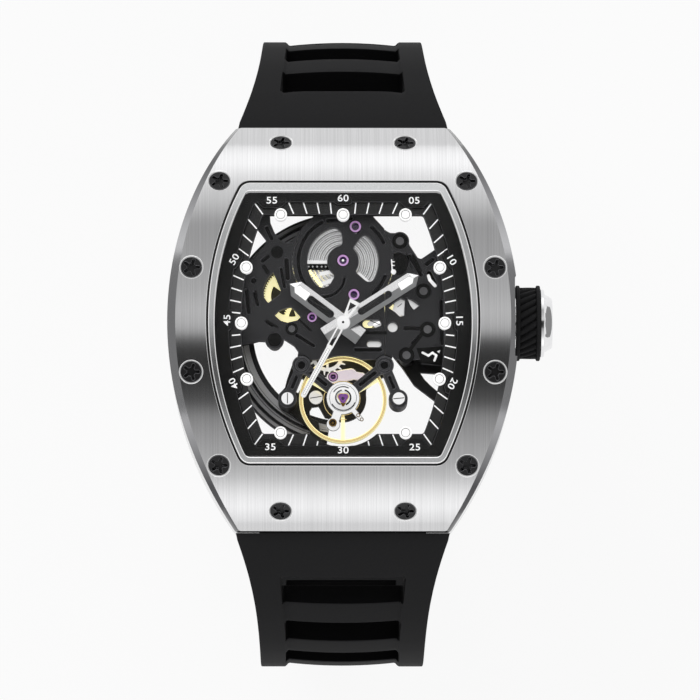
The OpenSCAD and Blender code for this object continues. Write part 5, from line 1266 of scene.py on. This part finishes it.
sheet_parts("keyless_covers", 7.74, 0.2, [
    (steel_painted_glow, bar(3.35, -2.75, 4.3, -2.7, 0.86), disc(6.1, -0.63, 0.62),
     bar(3.3, -0.2, 4.2, 0.05, 0.7), bar(4.0, -0.35, 4.6, -0.1, 0.6),
     [(6.4, 2.1), (7.55, 2.85), (7.5, 0.75), (6.95, 0.9), (6.35, 1.6)],
     [(8.15, 2.9), (9.4, 2.2), (9.35, 1.9), (8.6, 1.45)], disc(11.85, 2.05, 0.33))])
sheet_parts("keyless_screw_slots", 7.76, 0.05, [
    (painted_shadow_black, bar(6.7, 1.9, 7.2, 2.3, 0.08), bar(11.6, 1.95, 12.1, 2.15, 0.1),
     bar(3.35, 0.2, 4.5, -0.3, 0.1))], bevel=0.01)

# %% [markdown]
# ## Hooks and recesses
# Small bright hooks lie on the bridges. The bridges also have shallow recesses that look black
# from the front, and a flat black plate stands for the shade in each.

# %% Hooks and recesses
sheet_parts("bridge_hooks", 8.86, 0.1, [
    (steel_painted_glow, bar(10.5, 5.75, 10.65, 5.3, 0.42), bar(10.7, 5.2, 11.3, 4.55, 0.42),
     bar(5.95, 7.75, 6.05, 6.2, 0.16), disc(6.2, 6.25, 0.34), bar(6.0, 7.5, 6.3, 7.5, 0.16),
     bar(6.0, 7.05, 6.3, 7.05, 0.16), bar(9.75, -3.75, 10.5, -4.15, 0.3),
     bar(10.5, -4.1, 11.0, -3.75, 0.3), bar(11.0, -3.8, 11.45, -4.1, 0.3),
     bar(11.45, -4.1, 11.2, -4.75, 0.3), [(11.5, -3.6), (11.95, -3.4), (11.8, -3.85)])])
sheet_parts("bridge_recesses", 8.825, 0.02, [
    (painted_shadow_black, bar(-9.75, 6.9, -9.3, 6.2, 0.5), bar(-10.75, 3.8, -10.55, 2.3, 0.3),
     bar(-9.4, 0.2, -8.1, -0.6, 0.32), disc(6.85, 6.9, 1.05), bar(8.6, 8.2, 9.5, 6.4, 0.4),
     bar(-5.4, 0.3, -4.0, -1.0, 0.28), bar(7.6, -0.72, 9.6, -0.78, 0.44),
     bar(9.8, -1.3, 8.2, -3.4, 0.44), bar(2.9, -1.3, 5.2, -1.32, 0.4),
     [(9.0, -3.2), (12.2, -3.0), (12.2, -5.0), (9.6, -5.0)]),
    (black_coat, bar(9.6, -5.12, 12.2, -5.4, 0.12))], bevel=0.005)

# %% [markdown]
# ## Balance setting
# The upper end of the balance staff sits in a spring-held ruby. From the front it is a small
# target: a silver cup with a groove painted in black and grey arcs as shade, a three-lobed gilt
# spring, and the ruby inside it, painted dark in its middle as shade. Flat plates lie on top of
# each other here, so each is raised a hair over the one below.

# %% Balance setting
SETTING_Z, SETTING_Y, CUP_Y, LOBES_Y, RISE = 9.36, -9.31, -8.98, -9.36, 0.004
cup = Shape()
cup.lathe([(1.05, SETTING_Z - 0.1), (1.05, SETTING_Z + 0.01), (1.6, SETTING_Z - 0.02),
           (1.6, SETTING_Z - 0.1)], 64, matrix=turned(0, CUP_Y, 0))
place_piece("setting_cup", cup, "case", [steel_painted_glow])


def arc(r0, r1, a0, a1, steps=20):
    """Part of a ring round the setting, as short outlines, since a plate has to be convex."""
    turns = [math.radians(a0 + (a1 - a0) * i / steps) for i in range(steps + 1)]
    return [[(r * math.cos(a), SETTING_Y + r * math.sin(a))
             for r, a in ((r0, start), (r1, start), (r1, end), (r0, end))]
            for start, end in zip(turns, turns[1:])]


def trefoil(r, lobe, steps=36):
    """Outline with three soft lobes round the setting."""
    points = []
    for i in range(steps):
        a = 2 * math.pi * i / steps
        reach = r + lobe * math.sin(3 * a)
        points.append((reach * math.cos(a), LOBES_Y + reach * math.sin(a)))
    return points


# Painted shade: black arcs and one grey arc round the cup and the ruby
sheet_parts("setting_groove_painted_shade", SETTING_Z + 0.03, 0.03, [
    (painted_shadow_black, *arc(1.52, 1.64, -150, -22), *arc(1.28, 1.4, 60, 150), *arc(0.84, 1.02, -70, 78)),
    (screw_grey_and_painted_shade, *arc(0.84, 1.0, 100, 250))], bevel=0.0)
sheet_parts("setting_spring", SETTING_Z + 0.05, 0.04, [
    (pale_gold_painted_glow, trefoil(0.68, 0.1)), (ruby, trefoil(0.58, 0.09))], 0.0, RISE)
sheet_parts("setting_ruby", SETTING_Z + 0.08, 0.03, [
    (ruby, trefoil(0.56, 0.09)), (ruby_cup_painted_shade, disc(-0.02, -9.42, 0.2)),
    (olive_gold, [(-0.32, -9.98), (0.32, -9.98), (0.12, -10.4), (-0.12, -10.4)])], 0.0, RISE)

# %% [markdown]
# ## Round the balance
# The stud of the hairspring and the two pins of the index are gilt. Slotted screws hold the feet
# of the bridge, and one more is seen through a window beside it. Three spokes carry the rim.

# %% Stud, pins, screw faces and spokes
sheet_parts("stud_and_pins", 9.34, 0.03, [
    (olive_gold, disc(-1.27, -12.41, 0.5)), (painted_shadow_black, disc(-1.27, -12.41, 0.34)),
    (olive_gold, disc(-1.27, -12.45, 0.16), disc(1.85, -11.5, 0.24)),
    (steel_painted_glow, disc(1.85, -11.5, 0.14)), (olive_gold, disc(2.28, -12.02, 0.24)),
    (steel_painted_glow, disc(2.28, -12.02, 0.14))], 0.0, RISE)
for name, z, faces, slots in (
        ("foot_screw", 9.43, [(-6.83, -9.41, 0.75), (6.83, -9.41, 0.75)],
         [(-6.83, -8.8, -6.83, -10.0, 0.1), (6.2, -9.46, 7.46, -9.34, 0.1)]),
        ("side_screw", 4.87, [(-3.38, -9.33, 0.84)], [(-4.05, -9.42, -2.7, -9.2, 0.1)])):
    plural = "s" if len(faces) > 1 else ""
    sheet_parts(name + "_face" + plural, z, 0.02,
                [(steel_painted_glow, *[disc(*face) for face in faces])], 0.01)
    sheet_parts(name + "_slot" + plural, z + 0.02, 0.02,
                [(painted_shadow_black, *[bar(*slot) for slot in slots])], 0.0)
spokes = Shape()
for degrees in (30, 150, 270):
    spokes.prism(rectangle(2.2, 4.95, -0.24, 0.24), 7.2, 7.33, 0.05,
                 matrix=turned(0, BALANCE_Y, 0, degrees))
place_piece("balance_spokes", spokes, "balance", [gilt])

# %% [markdown]
# ## Mainspring
# The mainspring is a thin ribbon wound many times. From the front only the edges of its coils are
# seen, as fine bright lines, brightened a little by a painted glow. One spiral is drawn with a
# rounded upper edge, so each coil has its own highlight.

# %% Mainspring
BARREL_Y, SPRING_START = 8.0, math.radians(20)
SPRING_TURNS, SPRING_W = 8, 0.42
SPRING_R0, SPRING_R1, SPRING_Z0, SPRING_Z1 = 1.25, 5.3, 6.3, 7.2
ribbon = [(-0.5, SPRING_Z0), (-0.5, SPRING_Z1 - 0.1), (-0.28, SPRING_Z1 - 0.02), (0, SPRING_Z1),
          (0.28, SPRING_Z1 - 0.02), (0.5, SPRING_Z1 - 0.1), (0.5, SPRING_Z0)]
steps = SPRING_TURNS * 60
rows = []
for i in range(steps + 1):
    a = SPRING_START + 2 * math.pi * SPRING_TURNS * i / steps
    r = SPRING_R0 + (SPRING_R1 - SPRING_R0) * i / steps
    rows.append([((r + q * SPRING_W) * math.cos(a), BARREL_Y + (r + q * SPRING_W) * math.sin(a), z)
                 for q, z in ribbon])
shape = Shape()
shape.stack(rows, closed=False)
place_piece("mainspring_ribbon", shape, "barrel", [spring_steel_painted_glow],
            replaces=["mainspring"])
print("mainspring with", SPRING_TURNS, "coils")

# %% [markdown]
# ## Crown
# The crown has a moulded rubber grip between two smooth beads, on a buffed steel core. Diagonal
# grooves give hold. The grip is a grid round the crown's axis whose radius drops in the grooves,
# and the grooves lean because their angle moves with the place along the axis.

# %% Crown grip
CROWN_Y, CROWN_Z = 0.6, 6.4385
GRIP_X0, GRIP_X1, GRIP_R, BEAD_R, CORE_R = 21.25, 24.25, 4.25, 4.65, 3.2
GROOVES, LEAN, ROUND = 26, 0.42, 312
LAND_RISE, GROOVE_CUT = 0.16, 0.42


def grip_radius(x, a):
    """Radius of the grip between its beads, with its leaning grooves."""
    wave = 0.5 + 0.5 * math.cos(GROOVES * (a + LEAN * (x - GRIP_X0) / (GRIP_X1 - GRIP_X0)))
    return GRIP_R + LAND_RISE - GROOVE_CUT * wave ** 3


# Profile of one bead: distance from the end of the grip, and radius
BEAD = [(0, CORE_R), (0, BEAD_R - 0.12), (0.1, BEAD_R), (0.4, BEAD_R), (0.5, BEAD_R - 0.12),
        (0.5, GRIP_R - 0.05)]
STATIONS = 15
rows = [[(GRIP_X0 + inset, r)] * ROUND for inset, r in BEAD]
for k in range(STATIONS):
    x = GRIP_X0 + 0.52 + (GRIP_X1 - GRIP_X0 - 1.04) * k / (STATIONS - 1)
    rows.append([(x, grip_radius(x, 2 * math.pi * i / ROUND)) for i in range(ROUND)])
rows += [[(GRIP_X1 - inset, r)] * ROUND for inset, r in reversed(BEAD)]
shape = Shape()
shape.stack([[(x, CROWN_Y + r * c, CROWN_Z + r * s) for (x, r), (c, s) in zip(row, circle(ROUND))]
             for row in rows])
place_piece("crown_rubber", shape, "crown", [rubber], crease=50,
            replaces=["crown_grip"])
print("crown grip with", GROOVES, "grooves")

# %% [markdown]
# ## Line of the strap
# Each strap half leaves the case on a tight bend, the flare, and then follows a wider arch. One
# function gives the side view: a length along the outer face and a depth below it become a place.
# The strap is wide at the case and narrows within a few millimetres.

# %% Line of the strap
FLARE_R, FLARE_REACH, STRAP_T = 27.5, 14.45, 3.4
UPPER_R, LOWER_R = 50.0, 37.0
# Half widths of the upper and the lower half: at the tail, and at the case
UPPER_HW, LOWER_HW = (9.95, 13.2), (10.2, 13.4)
WIDE_Z, WIDE_FADE = 4.6, 4.5
# Half width of the windows, how much wider the first one is, and where they reach their width
WINDOW_HW, WINDOW_MORE, NARROW_S, NARROW_L = 7.05, 0.65, 17, 10.5
STRAP_Y0, STRAP_Z0 = CASE["hl"] + 0.03, 4.57
FLARE_Y = CASE["hl"] + FLARE_REACH - FLARE_R
FLARE_A0 = math.acos((STRAP_Y0 - FLARE_Y) / FLARE_R)
FLARE_Z = STRAP_Z0 - FLARE_R * math.sin(FLARE_A0)
FLARE_S = FLARE_R * FLARE_A0


def arch(s, r, d):
    """Side view: the point at length s along the outer face and at depth d."""
    if s < FLARE_S:
        a = FLARE_A0 - s / FLARE_R
        return FLARE_Y + (FLARE_R - d) * math.cos(a), FLARE_Z + (FLARE_R - d) * math.sin(a)
    a = -(s - FLARE_S) / r
    return FLARE_Y + FLARE_R - r + (r - d) * math.cos(a), FLARE_Z + (r - d) * math.sin(a)


def strap_half_width(z, side):
    """The flare: wide at the case, and narrow from a few mm below it. The lower half is wider."""
    tail, wide = UPPER_HW if side > 0 else LOWER_HW
    return tail + (wide - tail) * math.exp(min(0, z - WIDE_Z) / WIDE_FADE)


def window_half_width(s):
    """The windows narrow a little away from the case."""
    return WINDOW_HW + WINDOW_MORE * max(0.0, min(1.0, (NARROW_S - s) / NARROW_L))


print("the flare is", round(FLARE_S, 1), "mm long")

# %% [markdown]
# ## Grid of a strap half
# Each half is one rubber moulding: two rails with ribs between them. The mesh is a grid along the
# line of the strap and across it, with the windows left out and walls round every opening. The
# ribs are crowned: their middle lies lower than the rails.

# %% Grid of a strap half
FIRST_GAP, RIB_PITCH, RIB_GAP, RIB_SINK, FILLET = 6.5, 7.9, 4.2, 0.42, 0.32
NECK_STATIONS = [-0.9, 1.0, 2.2, 3.6, 5.0, 5.8]
PLAIN_END, END_STEP, TONGUE_SLOT = 6, 1.5, 0.24


def strap_stations(length, slot_from):
    """Lengths along the strap where the grid has a row, and the number of windows."""
    gaps = int((length - FIRST_GAP - PLAIN_END) // RIB_PITCH)
    stations = list(NECK_STATIONS)
    for i in range(gaps):
        start = FIRST_GAP + i * RIB_PITCH
        stations += [start, start + RIB_GAP / 2, start + RIB_GAP]
        stations += [start + RIB_GAP + (RIB_PITCH - RIB_GAP) * k / 4 for k in (1, 2, 3)]
    last = FIRST_GAP + gaps * RIB_PITCH
    n = max(2, math.ceil((length - last) / END_STEP))
    stations += [last + (length - last) * k / n for k in range(n + 1)]
    if slot_from:
        stations = sorted({s for s in stations if abs(s - slot_from) > 0.3} | {slot_from})
    return stations, gaps


def strap_mesh(length, r, side, slot_from):
    """Grid of one strap half, with its windows, walls and crowned ribs."""
    stations, gaps = strap_stations(length, slot_from)
    last = FIRST_GAP + gaps * RIB_PITCH
    ribs = {k / 6 - 1 for k in range(13)} | ({-TONGUE_SLOT, TONGUE_SLOT} if slot_from else set())
    # Each column is on a rail, with its side and its share of the way in, or on a rib
    columns = ([("rail", -1, share) for share in (0.0, 0.5, 1.0)]
               + [("rib", x, 0) for x in sorted(ribs)]
               + [("rail", 1, share) for share in (1.0, 0.5, 0.0)])

    def point(s, column, top):
        kind, value, share = column
        hole = window_half_width(s)
        sink = 0.0
        if kind == "rib" and FIRST_GAP + RIB_GAP / 2 < s < last + 0.1:
            sink = RIB_SINK * (0.1 + 0.9 * value ** 2)
        elif kind == "rib" and s < FIRST_GAP + 0.1:
            sink = 0.3 * max(0.0, (s - FIRST_GAP + 1.5) / 1.5) * value ** 6
        y, z = arch(s, r, sink if top else STRAP_T)
        if kind == "rib":
            return value * (hole - FILLET), side * y, z
        w = strap_half_width(z, side)
        return value * (w + (hole - w) * share), side * y, z

    def is_open(i, j):
        s = (stations[i] + stations[i + 1]) / 2
        a, b = columns[j], columns[j + 1]
        if a[0] != "rib" and b[0] != "rib":
            return False
        if slot_from and s > slot_from and a[0] == b[0] and abs(a[1] + b[1]) / 2 < TONGUE_SLOT:
            return True
        t = (s - FIRST_GAP) / RIB_PITCH
        return 0 <= t < gaps and (t - math.floor(t)) * RIB_PITCH < RIB_GAP

    def index(i, j, top):
        return (0 if top else rows * cols) + i * cols + j

    shape = Shape()
    rows, cols = len(stations), len(columns)
    shape.points = [point(s, column, top) for top in (True, False) for s in stations
                    for column in columns]
    for i in range(rows - 1):
        for j in range(cols - 1):
            if is_open(i, j):
                continue
            a, b, c, d = (i, j), (i, j + 1), (i + 1, j + 1), (i + 1, j)
            shape.faces += [tuple(index(*p, True) for p in (a, b, c, d)),
                            tuple(index(*p, False) for p in (a, d, c, b))]
            shape.finish += [0, 0]
            for i2, j2, p, q in ((i - 1, j, a, b), (i + 1, j, c, d), (i, j - 1, d, a),
                                 (i, j + 1, b, c)):
                outside = not (0 <= i2 < rows - 1 and 0 <= j2 < cols - 1)
                if outside or is_open(i2, j2):
                    shape.faces.append((index(*p, True), index(*p, False), index(*q, False),
                                        index(*q, True)))
                    # Walls round the windows take the painted shade
                    shape.finish.append(0 if outside else 1)
    return shape


print("a window every", RIB_PITCH, "mm")

# %% [markdown]
# ## Strap halves
# A bevel rounds all the edges of the moulding. Then the seat for the case is cut out of it, round
# about the hinge and flat in front, and those edges stay crisp. A hinge knuckle reaches under the
# case to the pin.

# %% Strap halves
PIVOT_Y, PIVOT_Z = 23.0, 1.5
SEAT_R, STRAP_EDGE, KNUCKLE_HW, KNUCKLE_R, PIN_R = 3.6, 0.26, 10.4, 1.35, 0.62


def strap_half(name, node, body, length, r, side, slot_from=None):
    """One half of the strap with its hinge. Side is 1 at 12 o'clock and -1 at 6 o'clock."""
    piece = place_piece(name, strap_mesh(length, r, side, slot_from), body,
                        [rubber, rubber_painted_shade], crease=180, replaces=[node])
    soft = piece.modifiers.new("moulded edge", "BEVEL")
    soft.width, soft.segments, soft.limit_method = STRAP_EDGE * MM, 3, "ANGLE"
    soft.angle_limit = math.radians(35)
    piece.modifiers.new("smooth shading", "WEIGHTED_NORMAL").keep_sharp = True
    seat = Shape()
    along_x = (Matrix.Translation((0, side * PIVOT_Y, PIVOT_Z))
               @ Matrix.Rotation(math.pi / 2, 4, "Y"))
    seat.lathe([(0, -22), (SEAT_R, -22), (SEAT_R, 22), (0, 22)], 72, matrix=along_x)
    cut(piece, seat)
    front = Shape()
    front.prism(rectangle(-22, 22, *sorted((side * (PIVOT_Y - 4), side * STRAP_Y0))), -9, 9)
    cut(piece, front)
    mark_edges(piece.data, 50)
    knuckle = Shape()
    knuckle.lathe([(PIN_R, -KNUCKLE_HW), (KNUCKLE_R - 0.1, -KNUCKLE_HW),
                   (KNUCKLE_R, 0.1 - KNUCKLE_HW), (KNUCKLE_R, KNUCKLE_HW - 0.1),
                   (KNUCKLE_R - 0.1, KNUCKLE_HW), (PIN_R, KNUCKLE_HW), (PIN_R, -KNUCKLE_HW)],
                  48, matrix=along_x)
    knuckle.prism(rectangle(-10.3, 10.3, side * (PIVOT_Y + 1.0), side * (PIVOT_Y + 4.4)),
                  0.42, 2.58)
    place_piece(name + "_hinge", knuckle, body, [rubber])
    print(name, "is", length, "mm long and has", len(piece.data.polygons), "faces")


strap_half("strap_upper_rubber", "strap_upper", "upper_strap", length=60.0, r=UPPER_R, side=1,
           slot_from=56.4)
strap_half("strap_lower_rubber", "strap_lower", "lower_strap", length=80.0, r=LOWER_R, side=-1)

# %% [markdown]
# ## Keeper
# The keeper is a loop of the same rubber round the upper half, near the buckle. It is a short
# tube with a rounded rectangle for its section.

# %% Keeper
KEEPER_S, KEEPER_L, KEEPER_T, KEEPER_GAP, KEEPER_EDGE = 48.0, 5.0, 1.3, 0.02, 0.3
TAIL_HW, OUTER_CORNER, INNER_CORNER = 10.1, 1.4, 0.3


def keeper_loop(share, grown, corner, turns=5):
    """A rounded rectangle across the strap, grown from its tightest size by a distance."""
    half, d0, d1 = TAIL_HW + grown, -grown, 2 * STRAP_T + grown
    points = []
    for cx, cd, a0 in ((half - corner, d1 - corner, 0), (-half + corner, d1 - corner, 90),
                       (-half + corner, d0 + corner, 180), (half - corner, d0 + corner, 270)):
        for k in range(turns + 1):
            a = math.radians(a0 + 90 * k / turns)
            y, z = arch(KEEPER_S + KEEPER_L * share, UPPER_R, cd + corner * math.sin(a))
            points.append((cx + corner * math.cos(a), y, z))
    return points


loops = []
for share in (0.0, 0.03, 0.25, 0.5, 0.75, 0.97, 1.0):
    trim = KEEPER_EDGE if share in (0.0, 1.0) else 0.0
    loops.append(keeper_loop(share, KEEPER_GAP + KEEPER_T - trim, OUTER_CORNER - trim))
loops += [keeper_loop(share, KEEPER_GAP, INNER_CORNER) for share in (1.0, 0.5, 0.0)]
shape = Shape()
shape.stack(loops)
place_piece("keeper_loop", shape, "upper_strap", [rubber],
            replaces=["strap_keeper"])
print("keeper", KEEPER_L, "mm wide")

# %% [markdown]
# ## Size of the CAD model
# The dressed watch has to keep the size of the CAD model, whose box is printed here.

# %% Measure and finish
print("CAD box", [[round(v / MM, 2) for v in c] for c in cad_box])
